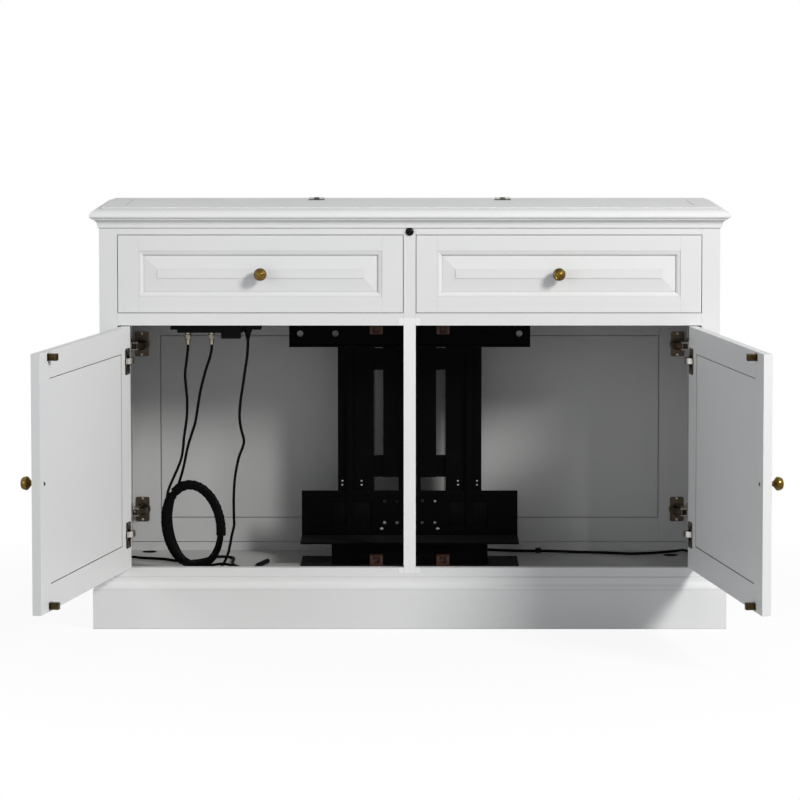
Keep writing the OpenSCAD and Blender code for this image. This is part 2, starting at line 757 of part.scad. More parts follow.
module left_drawer_front() { color("white") drawer_place(-1) drawer_front(); }
module left_drawer_box() { color("burlywood") drawer_place(-1) drawer_box(); }
module left_drawer_knob() { color("darkgoldenrod") drawer_place(-1) drawer_knob(); }
module right_drawer_front() { color("white") drawer_place(1) drawer_front(); }
module right_drawer_box() { color("burlywood") drawer_place(1) drawer_box(); }
module right_drawer_knob() { color("darkgoldenrod") drawer_place(1) drawer_knob(); }

// Lift: a base plate and two channel columns, a mast that slides in the columns,
// and a carriage that slides on the mast and holds the screen
base_front_y = -100;
column_back_y = mast_front_y + column_d;
module lift_base_plate() {
    color("black") difference() {
        block([-carriage_w / 2, base_front_y, z_floor], [carriage_w / 2, column_back_y + 2, z_base_plate]);
        both_sides() for (y = [base_front_y + 12, column_back_y - 10])
            translate([carriage_w / 2 - 14, y, z_floor - 1]) cylinder(d = 8, h = base_plate_t + 2, $fn = 24);
    }
}

gearbox_w = 76;
motor_front_y = -50;
motor_w = 345;
// The square tube on the gearbox guides the mast's rod
module lift_actuator() {
    motor_back_y = mast_front_y - 2;
    gland_d = 12;
    color("black") {
        translate([0, (motor_front_y + motor_back_y) / 2, z_base_plate])
            rounded_slab(motor_w, motor_back_y - motor_front_y, motor_h, 9);
        block([-gearbox_w / 2, motor_back_y - 1, z_base_plate],
            [gearbox_w / 2, column_back_y - 2, z_motor_top]);
        translate([motor_gland[0], motor_front_y, motor_gland[2]]) rotate([90, 0, 0])
            cylinder(d = gland_d, h = gland_len, $fn = 32);
        translate([right_gland[0], column_back_y - 2, right_gland[2]]) rotate([-90, 0, 0])
            cylinder(d = gland_d, h = gland_len, $fn = 32);
        difference() {
            block([-tube_half_w, tube_y - tube_d / 2, z_motor_top + joint_gap],
                [tube_half_w, tube_y + tube_d / 2, z_tube_top]);
            translate([0, tube_y, z_rod_low - 5]) cylinder(d = rod_d + 1, h = z_tube_top, $fn = 40);
        }
    }
}

// Each column is a channel, open towards the middle, in which the mast's slides run
module lift_columns() {
    wall = 3;
    color("black") both_sides() translate([column_in_x, mast_front_y, z_base_plate])
        linear_extrude(z_mast_top - z_base_plate) polygon([
            [0, 0], [column_w, 0], [column_w, column_d], [0, column_d], [0, column_d - wall],
            [column_w - wall, column_d - wall], [column_w - wall, wall], [0, wall]]);
}

slide_in_x = column_in_x + 4;
slide_out_x = column_in_x + column_w - 3 - slide_gap;
module lift_mast() {
    wall = 3;
    tie_y = [mast_front_y + 6, mast_front_y + mast_d - 6];
    box_y = [mast_front_y, mast_front_y + mast_d];
    slide_y = [mast_front_y + wall + slide_gap, mast_front_y + column_d - wall - slide_gap];
    color("black") {
        difference() {
            block([-mast_half_w, box_y[0], z_mast_low], [mast_half_w, box_y[1], z_mast_top]);
            block([-mast_half_w + mast_wall, box_y[0] + mast_wall, z_mast_low - 1],
                [mast_half_w - mast_wall, box_y[1] - mast_wall, z_mast_top - mast_wall]);
        }
        translate([0, tube_y, z_rod_low]) cylinder(d = rod_d, h = z_mast_top - z_rod_low - 1, $fn = 40);
        both_sides() {
            block([slide_in_x, slide_y[0], z_base_plate + slide_low], [slide_out_x, slide_y[1], z_mast_top]);
            for (z = [[z_mast_top - 3 - upper_tie_h, z_mast_top - 3],
                [z_mast_low - lower_tie_h, z_mast_low + 1]])
                block([mast_half_w - 1, tie_y[0], z[0]], [slide_in_x + 1, tie_y[1], z[1]]);
            block([rail_half_w + 0.5, plate_y + sheet_t + 0.6, z_mast_low],
                [rail_half_w + 7, box_y[0] + 1, z_mast_top]);
        }
        block([-mast_half_w, tie_y[0] - 5.6, z_mast_low - lower_tie_h],
            [mast_half_w, tie_y[0] - 2.6, z_mast_low + 1]);
    }
}

// Carriage plate with two windows, rows of fixing holes and a folded shelf
window_x = [85, 174];
window_h = 56;
hole_d = 7;
module lift_carriage() {
    z_mid = (z_plate + z_plate_top) / 2;
    color("black") difference() {
        union() {
            block([-carriage_w / 2, plate_y, z_plate], [carriage_w / 2, plate_y + sheet_t, z_plate_top]);
            block([-carriage_w / 2, plate_y - shelf_reach, z_plate],
                [carriage_w / 2, plate_y + 1, z_plate + shelf_t]);
        }
        both_sides() {
            block([window_x[0], plate_y - 1, z_mid - window_h / 2],
                [window_x[1], plate_y + sheet_t + 1, z_mid + window_h / 2]);
            for (x = [92, 163], z = [z_plate + 9, z_plate_top - 9]) carriage_hole(x, z, hole_d);
            for (x = [28, 56], z = [z_mid - 20, z_mid + 28]) carriage_hole(x, z, hole_d);
        }
    }
}

module carriage_hole(x, z, d) {
    translate([x, plate_y - 1, z]) rotate([-90, 0, 0]) cylinder(d = d, h = sheet_t + 2, $fn = 24);
}

// Crossbar with its folded edges, two straps down to the carriage plate and the sliding rail
z_fixing = z_crossbar + 29.5;
module lift_crossbar() {
    fold = 6;
    color("black") difference() {
        union() {
            block([-crossbar_w / 2, plate_y, z_crossbar], [crossbar_w / 2, plate_y + sheet_t, z_lift_top]);
            for (z = [z_crossbar, z_lift_top - sheet_t])
                block([-crossbar_w / 2, plate_y - fold, z], [crossbar_w / 2, plate_y + 1, z + sheet_t]);
            both_sides() block([strap_in_x, plate_y - sheet_t, z_plate + shelf_t],
                [strap_in_x + strap_w, plate_y, z_crossbar + 8]);
            block([-rail_half_w, plate_y + sheet_t, z_plate + shelf_t],
                [rail_half_w, plate_y + sheet_t + rail_t, z_lift_top]);
        }
        for (side = [-1, 1], x = [fixing_inner_x, fixing_outer_x])
            translate([side * x, plate_y - 7, z_fixing]) rotate([-90, 0, 0])
                cylinder(d = fixing_d, h = sheet_t + 8, $fn = 32);
    }
}

// Control box under the drawer deck, above the left compartment
function from_edge(d) = d - open_edge_x;
function from_front(d) = d - half_d;
box_x = [from_edge(126.5), from_edge(268.5)];
ear_x = [from_edge(111), from_edge(308)];
box_y = [from_front(32), from_front(90)];
box_drop = 27.5;
ear_drop = 21;
connector_y = from_front(60);
connector_xs = [from_edge(148), from_edge(199.5)];
inlet_x = from_edge(278.5);
connector_len = 28;
inlet_len = 24;
z_deck_low = z_drawer_low - board_t;
module control_box() {
    step_x = [from_edge(221), from_edge(263.5)];
    step_drop = 41;
    color("dimgray") {
        translate([(ear_x[0] + ear_x[1]) / 2, (box_y[0] + box_y[1]) / 2, z_deck_low - ear_drop])
            rounded_slab(ear_x[1] - ear_x[0], box_y[1] - box_y[0] - 8, ear_drop, 5);
        translate([(box_x[0] + box_x[1]) / 2, (box_y[0] + box_y[1]) / 2, z_deck_low - box_drop])
            rounded_slab(box_x[1] - box_x[0], box_y[1] - box_y[0], box_drop - 1, 4);
        block([step_x[0], box_y[0] + 8, z_deck_low - step_drop],
            [step_x[1], connector_y + 10, z_deck_low - box_drop + 1]);
    }
}

module box_connectors() {
    color("silver") for (x = connector_xs) translate([x, connector_y, z_deck_low - box_drop])
        mirror([0, 0, 1]) rotate_extrude($fn = 32) polygon([
            [0, 0], [7.5, 0], [7.5, 5], [6.1, 6], [6.1, connector_len - 8], [5, connector_len - 7],
            [5, connector_len - 1], [4, connector_len], [0, connector_len]]);
    color("black") translate([inlet_x, connector_y, z_deck_low - ear_drop]) mirror([0, 0, 1])
        rotate_extrude($fn = 32)
            polygon([[0, 0], [9, 0], [9, 8], [6.5, 12], [4, inlet_len], [0, inlet_len]]);
}

// Receiver eye: a low dome on the middle stile with its body through the frame
module ir_eye() {
    dome_d = 17.7;
    dome_h = 6;
    color("black") translate([0, -half_d, ir_z]) rotate([90, 0, 0]) {
        rotate_extrude($fn = 48) polygon(concat([[0, 0], [dome_d / 2, 0]],
            [for (a = [0:11.25:90]) [dome_d / 2 * cos(a), 0.8 + (dome_h - 0.8) * sin(a)]]));
        translate([0, 0, -face_t - 3]) cylinder(d = ir_hole_d - 0.6, h = face_t + 3.2, $fn = 32);
    }
}

// Leads: each is one tube swept along a smooth curve through its route
function unit(v) = v / norm(v);
function spline_point(a, b, c, d, t) = 0.5 * (2 * b + (c - a) * t + (2 * a - 5 * b + 4 * c - d) * t * t
    + (3 * b - a - 3 * c + d) * t * t * t);
function smooth_route(p, n) = let (last = len(p) - 1) concat(
    [for (i = [0:last - 1], k = [0:n - 1])
        spline_point(p[max(i - 1, 0)], p[i], p[i + 1], p[min(i + 2, last)], k / n)], [p[last]]);
function even_route(p, step, i = 0, from = undef) = let (last = len(p) - 1, at = is_undef(from) ? p[0] : from)
    i >= last ? [p[last]]
    : norm(p[i] - at) >= step && norm(p[last] - p[i]) > step * 0.7
        ? concat([p[i]], even_route(p, step, i + 1, p[i]))
        : even_route(p, step, i + 1, at);
function spaced_route(p, step) = concat([p[0]], even_route(p, step));
function tangents(p) = let (last = len(p) - 1)
    [for (i = [0:last]) unit(p[min(i + 1, last)] - p[max(i - 1, 0)])];
function square_to(n, t) = unit(n - (n * t) * t);
function normals(t) = let (first = square_to(abs(t[0][2]) > 0.9 ? [1, 0, 0] : [0, 0, 1], t[0]))
    [for (i = 0, n = first; i < len(t); i = i + 1, n = i < len(t) ? square_to(n, t[i]) : n) n];

module tube(p, sides) {
    t = tangents(p);
    n = normals(t);
    last = len(p) - 1;
    points = [for (i = [0:last], k = [0:sides - 1]) let (a = 360 * k / sides, side = cross(t[i], n[i]))
        p[i] + lead_d / 2 * (cos(a) * n[i] + sin(a) * side)];
    walls = [for (i = [0:last - 1], k = [0:sides - 1])
        let (a = i * sides + k, b = i * sides + (k + 1) % sides)
        each [[a, b, a + sides], [b, b + sides, a + sides]]];
    low_cap = [for (k = [1:sides - 2]) [0, k + 1, k]];
    high_cap = [for (k = [1:sides - 2]) [last * sides, last * sides + k, last * sides + k + 1]];
    polyhedron(points = points, faces = concat(walls, low_cap, high_cap));
}

ring_step = 2.6 * lead_d;
module lead(route) {
    color("black") tube(spaced_route(smooth_route(route, 24), ring_step), 8);
}

// Piled coil of two layers: in at a steady rate, over in the half turn where it reverses, and out
coil_pitch = lead_d + 0.6;
function layer_share(s, turns) = min(1, max(0, (s - turns / 2 + 0.25) * 2));
function pile_in(s, turns) = (s < turns / 2 ? s : turns - s) * coil_pitch;
rings_a_loop = 24;

// The routes are drawn for this case. In a wider or deeper one their outer ends move with the case.
laid_edge_x = 630.5;
laid_half_d = 190;
function laid(p) = let (share = min(1, max(0, (abs(p[0]) - 110) / 200)))
    p + share * [sign(p[0]) * (open_edge_x - laid_edge_x),
        max(-1, min(1, p[1] / 100)) * (half_d - laid_half_d), 0];
function laid_route(r) = [for (p = r) laid(p)];

// The taped coil of the motor lead stands on its edge, as an upright oval that leans to the left
coil_centre = laid([-473, -120, z_floor + 100.5]);
coil_half_w = 66.5;
coil_half_h = 97;
coil_lean = 9;
coil_start = 138;
function oval_point(s) = let (a = coil_start + 360 * s, in = pile_in(s, coil_turns),
        x = (coil_half_w - in) * cos(a), z = (coil_half_h - in) * sin(a))
    coil_centre + [x * cos(coil_lean) - z * sin(coil_lean),
        (layer_share(s, coil_turns) - 0.5) * coil_pitch, x * sin(coil_lean) + z * cos(coil_lean)];
function coil_route(turns) = let (n = round(turns * rings_a_loop)) [for (i = [0:n]) i * turns / n];
oval_route = [for (s = coil_route(coil_turns)) oval_point(s)];

// The spare length of the mains lead is wound up inside the plinth
mains_coil_centre = laid([-560, 60, lead_d / 2 + 0.2]);
mains_coil_r = 5.5 * lead_d + coil_pitch * mains_turns / 4;
mains_coil_start = 90;
function round_point(s) = let (a = mains_coil_start - 360 * s, r = mains_coil_r - pile_in(s, mains_turns))
    mains_coil_centre + [r * cos(a), r * sin(a), layer_share(s, mains_turns) * coil_pitch];
round_route = [for (s = coil_route(mains_turns)) round_point(s)];

// Least distance between two stretches of one coil, less the lead's own diameter
function coil_gap(p, turns) = let (skip = floor(len(p) / turns / 2))
    min([for (i = [0:3:len(p) - 1 - skip], j = [i + skip:len(p) - 1]) norm(p[i] - p[j])]) - lead_d;
echo(oval_coil_gap = coil_gap(oval_route, coil_turns), round_coil_gap = coil_gap(round_route, mains_turns));

coil_last = len(oval_route) - 1;
coil_in = oval_route[0];
coil_out = oval_route[coil_last];
coil_in_way = unit(oval_route[0] - oval_route[1]);
coil_out_way = unit(oval_route[coil_last] - oval_route[coil_last - 1]);
round_last = len(round_route) - 1;
round_in_way = unit(round_route[0] - round_route[1]);
round_out_way = unit(round_route[round_last] - round_route[round_last - 1]);

motor_gland = [-104, motor_front_y, z_base_plate + 12];
right_gland = [20, column_back_y - 2, z_base_plate + 20];
gland_len = 8;
on_floor = z_floor + lead_d / 2 + 0.1;
on_plate = z_base_plate + lead_d / 2 + 0.1;
on_ground = lead_d / 2 + 0.2;

// Routes of the free stretches
motor_drop = concat(laid_route([
    [-482.5, -130, z_deck_low - box_drop - connector_len], [-483, -130, 600], [-486, -130, 575],
    [-489, -130, 546], [-487, -129, 515], [-485, -128, 490], [-486, -127, 453], [-492, -126, 410],
    [-499, -125, 360]]), [coil_in + 26 * coil_in_way + [0, 0, 3], coil_in + 6 * coil_in_way, coil_in]);
motor_tail = concat([coil_out, coil_out + 6 * coil_out_way, coil_out + 20 * coil_out_way + [0, -2, 0]],
    laid_route([
    [-409, -125, 129.5], [-394, -135.5, 129], [-381, -147.5, 126.5], [-368, -157.5, 123.2],
    [-352, -164, 118.5], [-333, -166.5, on_floor], [-308, -165, on_floor], [-280, -162, on_floor],
    [-230, -158, on_floor], [-190, -146, on_floor], [-160, -126, on_floor + 1], [-135, -108, 119.1],
    [-115, -90, 121.1], [-105, -74, 126],
    [-104, motor_front_y - gland_len - 6, motor_gland[2]],
    [-104, motor_front_y - gland_len, motor_gland[2]]]));
aux_route = laid_route([
    [-431, -130, z_deck_low - box_drop - connector_len], [-431.5, -130, 600], [-436, -129, 580],
    [-445, -128, 553], [-456, -126, 510], [-462, -124, 475], [-468, -121, 440], [-480, -117, 403],
    [-487, -113, 377], [-495, -108, 340], [-505, -105, 305], [-517, -104, 270], [-523, -104, 230],
    [-518, -104, 190], [-506, -104, 158], [-488, -104, 132], [-467, -103.5, 119.5],
    [-450, -107.5, 116.4], [-434, -126, on_floor], [-422, -141, on_floor], [-407, -153, on_floor],
    [-388, -158, on_floor], [-368, -156, on_floor], [-353, -147, on_floor], [-343.5, -131, on_floor],
    [-338.5, -110, on_floor + 1.5], [-337, -88, on_floor + 2.5]]);
mains_route = concat(laid_route([
    [-352, -130, z_deck_low - ear_drop - inlet_len], [-352, -130, 612], [-354, -130, 586],
    [-359, -129, 552], [-364, -128, 519], [-369, -126, 485], [-371, -125, 452], [-368, -123, 427],
    [-362, -120, 401], [-365, -118, 385], [-374, -117, 360], [-382, -115, 318], [-385, -111, 275],
    [-385, -107, 232], [-385, -104, 211], [-390, -101, 189], [-394, -99, 168], [-398, -97.5, 150],
    [-403.5, -98, 135.5], [-409, -101.5, 125], [-414.5, -110.5, 118.4], [-416.5, -122, on_floor],
    [-413, -135, on_floor], [-403.5, -144.5, on_floor], [-390.5, -148, on_floor],
    [-377.5, -144.5, on_floor], [-368, -135, on_floor], [-364.5, -122, on_floor],
    [-365.5, -108, on_floor], [-372, -91, on_floor], [-381.5, -73, on_floor], [-389, -52, on_floor],
    [-392.5, -28, on_floor], [-392.5, 0, on_floor], [-392.5, 31, on_floor], [-396.1, 44.5, on_floor],
    [-406, 54.4, on_floor], [-419.5, 58, on_floor], [-433, 54.4, on_floor], [-443.5, 45, on_floor],
    [-453, 29, on_floor], [-463.5, 12, on_floor], [-478, -1.5, on_floor], [-496, -7, on_floor],
    [-514, -2, on_floor], [-529, 10, on_floor], [-548, 25, on_floor], [-574, 34, on_floor],
    [-602, 35, on_floor + 1.2], [-618, 34, on_floor + 3], [-630.5, 34, on_floor - 0.4],
    [-639.6, 34, on_floor - 9.5], [-643, 34, on_floor - 22], [-642.5, 34, 72], [-641, 35, 50],
    [-638, 39, 28], [-629.5, 51, 11.5], [-617, 69, on_ground + 1], [-603, 84, on_ground],
    [-588, 95, on_ground]]),
    [round_route[0] + 12 * round_in_way, round_route[0] + 6 * round_in_way, round_route[0]]);
plug_at = round_route[round_last] + 60 * round_out_way;
mains_tail = [round_route[round_last], round_route[round_last] + 6 * round_out_way,
    round_route[round_last] + 30 * round_out_way, plug_at - 6 * round_out_way, plug_at];
right_route = laid_route([
    [20, column_back_y - 2 + gland_len, right_gland[2]],
    [20, column_back_y + gland_len + 6, right_gland[2]], [24, 96, right_gland[2] - 2],
    [36, 118, right_gland[2] - 10],
    [60, 138, on_floor + 3], [92, 152, on_floor], [128, 159, on_floor], [165, 160, on_floor],
    [205, 150, on_floor], [240, 142, on_floor], [270, 140, on_floor], [291, 140, on_floor],
    [312, 139, on_floor], [340, 133, on_floor], [366, 126, on_floor], [410, 119, on_floor],
    [452, 112, on_floor], [494, 101, on_floor], [528, 106, on_floor], [560, 116, on_floor],
    [600, 130, on_floor + 1.2], [618, 132, on_floor + 3], [630.5, 132, on_floor - 0.4],
    [639.6, 132, on_floor - 9.5], [643, 132, on_floor - 22], [642.5, 131, 70], [641, 127, 46],
    [638, 118, 25], [630, 104, 10.5], [622, 88, on_ground + 2.5], [614, 71, on_ground + 1.5],
    [609, 57, on_ground + 1.5]]);

module motor_lead() {
    lead(motor_drop);
    lead(motor_tail);
}

module motor_lead_coil() {
    color("black") tube(oval_route, 6);
}

module aux_lead() {
    lead(aux_route);
}

module mains_lead() {
    lead(mains_route);
    lead(mains_tail);
}

module mains_lead_coil() {
    color("black") tube(round_route, 6);
}

// Moulded plug with two flat blades and a round ground pin, on its side
module mains_plug() {
    body_len = 30;
    body_w = 24;
    body_h = 19;
    relief_len = 22;
    way = atan2(round_out_way[1], round_out_way[0]);
    color("black") translate(plug_at) rotate([0, 0, way]) {
        rotate([0, 90, 0]) cylinder(d1 = lead_d + 1, d2 = lead_d + 6, h = relief_len, $fn = 32);
        translate([relief_len + body_len / 2, 0, 0]) rotate([0, 90, 0]) translate([0, 0, -body_len / 2])
            rounded_slab(body_h, body_w, body_len, 5);
        for (side = [-1, 1]) translate([relief_len + body_len - 1, side * 6.35 - 0.75, -3.2])
            cube([17, 1.5, 6.4]);
        translate([relief_len + body_len - 1, 0, -5.5]) rotate([0, 90, 0])
            cylinder(d = 4.8, h = 20, $fn = 24);
    }
}

module right_lead() {
    lead(right_route);
}

// The mains plug, the barrel plug of the spare lead on the floor, and the small plug of the right lead
module lead_plugs() {
    mains_plug();
    barrel_d = 11;
    barrel_len = 78;
    aux_end = aux_route[len(aux_route) - 1];
    color("black") translate(aux_end) rotate([0, 0, 73]) rotate([0, 90, 0])
        rotate_extrude($fn = 32) polygon(concat([[0, 0], [4, 0], [barrel_d / 2, 10]],
            [for (a = [0:18:90]) [barrel_d / 2 * cos(a), barrel_len - 5 + 5 * sin(a)]]));
    right_end = right_route[len(right_route) - 1];
    color("black") translate(right_end) rotate([0, 0, 250]) rotate([0, 90, 0])
        rotate_extrude($fn = 32)
            polygon([[0, 0], [3.6, 0], [4.6, 8], [4.6, 28], [2.6, 29], [2.6, 40], [0, 40]]);
}

// Saddle clip that holds the right lead to the floor
module lead_clip() {
    clip_w = 13;
    clip_d = 22;
    clip_h = lead_d + 3.5;
    clip_at = right_route[11];
    color("black") translate([clip_at[0], clip_at[1], z_floor]) difference() {
        union() {
            block([-clip_w / 2, -clip_d / 2, 0], [clip_w / 2, clip_d / 2, 2.2]);
            block([-clip_w / 2, -lead_d / 2 - 2.4, 0], [clip_w / 2, lead_d / 2 + 2.4, clip_h]);
        }
        translate([-clip_w / 2 - 1, 0, lead_d / 2 + 0.1]) rotate([0, 90, 0])
            cylinder(d = lead_d + 1.4, h = clip_w + 2, $fn = 32);
    }
}

plinth();
base_moulding();
floor_board();
case_sides();
front_frame();
back_frame();
back_panels();
crown_moulding();
top_border();
drawer_deck();
bay_divider();
hinge_blocks();
hinge_arms();
catch_bodies();
lid();
lid_hinge_leaves();
lid_hinge_knuckles();
left_door_frame();
left_door_panel();
left_door_hinges();
left_door_links();
left_door_strikes();
left_door_knob();
right_door_frame();
right_door_panel();
right_door_hinges();
right_door_links();
right_door_strikes();
right_door_knob();
rear_left_door();
rear_left_hinges();
rear_left_links();
rear_left_knob();
rear_right_door();
rear_right_hinges();
rear_right_links();
rear_right_knob();
left_drawer_front();
left_drawer_box();
left_drawer_knob();
right_drawer_front();
right_drawer_box();
right_drawer_knob();
lift_base_plate();
lift_actuator();
lift_columns();
lift_mast();
lift_carriage();
lift_crossbar();
control_box();
box_connectors();
ir_eye();
motor_lead();
motor_lead_coil();
aux_lead();
mains_lead();
mains_lead_coil();
right_lead();
lead_plugs();
lead_clip();
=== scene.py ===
import math

import bmesh
import bpy
from mathutils import Matrix, Vector


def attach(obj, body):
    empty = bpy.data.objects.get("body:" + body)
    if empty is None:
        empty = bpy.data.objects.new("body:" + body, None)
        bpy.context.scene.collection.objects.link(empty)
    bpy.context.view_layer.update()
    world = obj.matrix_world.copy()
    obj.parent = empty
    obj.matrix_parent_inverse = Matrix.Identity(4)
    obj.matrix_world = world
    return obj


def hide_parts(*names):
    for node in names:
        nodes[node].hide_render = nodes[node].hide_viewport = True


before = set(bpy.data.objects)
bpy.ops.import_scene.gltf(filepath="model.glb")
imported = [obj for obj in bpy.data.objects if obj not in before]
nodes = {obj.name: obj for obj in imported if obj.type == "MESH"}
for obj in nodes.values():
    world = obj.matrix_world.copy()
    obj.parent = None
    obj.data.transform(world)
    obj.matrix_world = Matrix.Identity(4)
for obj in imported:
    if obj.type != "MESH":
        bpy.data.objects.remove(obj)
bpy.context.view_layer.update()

# Directions, and sizes that the pieces share with the frame, in millimetres and degrees
FRONT = Vector((0, -1, 0))
BACK = Vector((0, 1, 0))
UP = Vector((0, 0, 1))
DOWN = Vector((0, 0, -1))
CASE_BODY = "case"
HALF_D = 190
Z_FLOOR = 113
Z_PLATE = Z_FLOOR + 3
Z_DECK = 667.5
LEFT_OPEN = 102.4
RIGHT_OPEN = 99.3
PIVOT = Vector((624.5, -193, 0))
DOOR_T = 18
DOOR_BACK = DOOR_T - HALF_D
CUP_X = 606.5
HINGE_ZS = (207, 583.5)
BLOCK_FACE_X = 627.4
KNOB_X = 40.5
KNOB_Z = 133 + 524.5 / 2
DRAWER_KNOB_X = 321.75
DRAWER_KNOB_Z = 687 + 167 / 2
DRAWER_FACE = 1.5 - HALF_D
DRAWER_FRONT_T = 15.5
STRIKE_X = 72.5
STRIKE_ZS = (144, 646.5)
STRIKE_TIP = DOOR_BACK + 19
MAGNET_FACE = -151.6
LEAD_D = 6
LEAD_Y = -130
CONNECTOR_XS = (-482.5, -431)
INLET_X = -352
COLUMN_FACE = 38
PLATE_FACE = 30
WINDOW_X = 129.5
WINDOW_HALF_W = 48
SPARE_HOLE = (165, 32.6, 620.5)
LID_PIN_Y = 109.25
LID_HINGE_X = 208
LEAF_TOP = 915.2
CABLE_HOLES = ((-590, 148), (588, 100))
SLEEVE_R = 16.5


def scene_object(name, data):
    made = bpy.data.objects.new(name, data)
    bpy.context.scene.collection.objects.link(made)
    return made


# Camera: front view from a little above the top, as in the photograph
CAMERA_AT = (0, -7.6, 1.346)
LOOKING_DOWN = 4
cam_data = bpy.data.cameras.new("camera")
cam_data.sensor_width = 36
cam_data.lens = 155.13
cam_data.shift_x = -0.0121
cam_data.shift_y = -0.1907
cam_data.clip_end = 100
camera = scene_object("camera", cam_data)
camera.location = CAMERA_AT
camera.rotation_euler = (math.radians(90 - LOOKING_DOWN), 0, 0)
bpy.context.scene.camera = camera


# Materials
def put(tree, socket, value):
    """A link into a socket, or a plain value on it."""
    if isinstance(value, bpy.types.NodeSocket):
        tree.links.new(value, socket)
    else:
        socket.default_value = value


def put_node(tree, kind, inputs=None, **settings):
    """A shader node with its settings made and its inputs set or linked, by name or number."""
    made = tree.nodes.new(kind)
    for key, value in settings.items():
        setattr(made, key, value)
    for key, value in (inputs or {}).items():
        put(tree, made.inputs[key], value)
    return made


class Graph:
    """A node tree under one principled shader. Lengths are in metres."""

    def __init__(self, name, color, rough, metal=0.0, **sockets):
        self.material = bpy.data.materials.new(name)
        self.material.use_nodes = True
        self.tree = self.material.node_tree
        self.shader = self.tree.nodes["Principled BSDF"]
        self.shader.inputs["Base Color"].default_value = (*color, 1)
        self.shader.inputs["Roughness"].default_value = rough
        self.shader.inputs["Metallic"].default_value = metal
        for key, value in sockets.items():
            self.shader.inputs[key.replace("_", " ")].default_value = value
        self.where = self.node("ShaderNodeTexCoord").outputs["Object"]

    def node(self, kind, **inputs):
        return put_node(self.tree, kind, {key.replace("_", " "): value for key, value in inputs.items()})

    def stretched(self, scale):
        return self.node("ShaderNodeMapping", Vector=self.where, Scale=scale).outputs["Vector"]

    def noise(self, scale, detail=3.0, rough=0.5, vector=None, distortion=0.0):
        return self.node("ShaderNodeTexNoise", Vector=vector or self.where, Scale=scale, Detail=detail,
                         Roughness=rough, Distortion=distortion).outputs["Fac"]

    def cells(self, scale):
        return self.node("ShaderNodeTexVoronoi", Vector=self.where, Scale=scale).outputs["Distance"]

    def ramp(self, fac, low, high):
        """Grey between two stops of (place, value)."""
        made = self.node("ShaderNodeValToRGB", Fac=fac)
        for element, (at, value) in zip(made.color_ramp.elements, (low, high)):
            element.position = at
            element.color = (value, value, value, 1)
        return made.outputs["Color"]

    def math(self, how, a, b=0.0):
        return put_node(self.tree, "ShaderNodeMath", {0: a, 1: b}, operation=how).outputs[0]

    def mix(self, fac, a, b, how="MIX"):
        a, b = ((*value, 1) if isinstance(value, tuple) else value for value in (a, b))
        made = put_node(self.tree, "ShaderNodeMixRGB", {"Fac": fac, "Color1": a, "Color2": b}, blend_type=how)
        return made.outputs["Color"]

    def shade(self, reach):
        """1 on open faces, falling to 0 in crevices."""
        made = put_node(self.tree, "ShaderNodeAmbientOcclusion", {"Distance": reach}, samples=6)
        return self.ramp(made.outputs["AO"], (0.25, 0.0), (0.85, 1.0))

    def zone(self, half_x, y_range, z_range):
        """1 within a box that is symmetric about X = 0."""
        at = self.node("ShaderNodeSeparateXYZ", Vector=self.where).outputs
        test = self.math("LESS_THAN", self.math("ABSOLUTE", at["X"]), half_x)
        for axis, (low, high) in (("Y", y_range), ("Z", z_range)):
            test = self.math("MULTIPLY", test, self.math("GREATER_THAN", at[axis], low))
            test = self.math("MULTIPLY", test, self.math("LESS_THAN", at[axis], high))
        return test

    def color(self, value):
        put(self.tree, self.shader.inputs["Base Color"], value)

    def roughness(self, value):
        put(self.tree, self.shader.inputs["Roughness"], value)

    def bump(self, *layers):
        """Each layer is a height and its depth."""
        normal = None
        for height, depth in layers:
            made = self.node("ShaderNodeBump", Height=height, Distance=depth, Strength=1.0)
            if normal:
                put(self.tree, made.inputs["Normal"], normal)
            normal = made.outputs["Normal"]
        put(self.tree, self.shader.inputs["Normal"], normal)


# The faces that line the case are darker, partly a greyer coat and partly painted shade inside the case; the
# stile between the doors is brightened, which is painted light
LINING_BOX = (0.655, (-0.1725, 0.182), (0.105, 0.89))
LINING_GREY_AND_SHADE = (0.66, 0.66, 0.655)
STILE_BOX = (0.0225, (-0.195, -0.17), (0.12, 0.675))
STILE_PAINTED_LIGHT = (1.13, 1.13, 1.13)
# reach of the painted shade in the quirks and crevices
QUIRK_SHADE_REACH = 0.0045
DUST_SHARE = 0.10


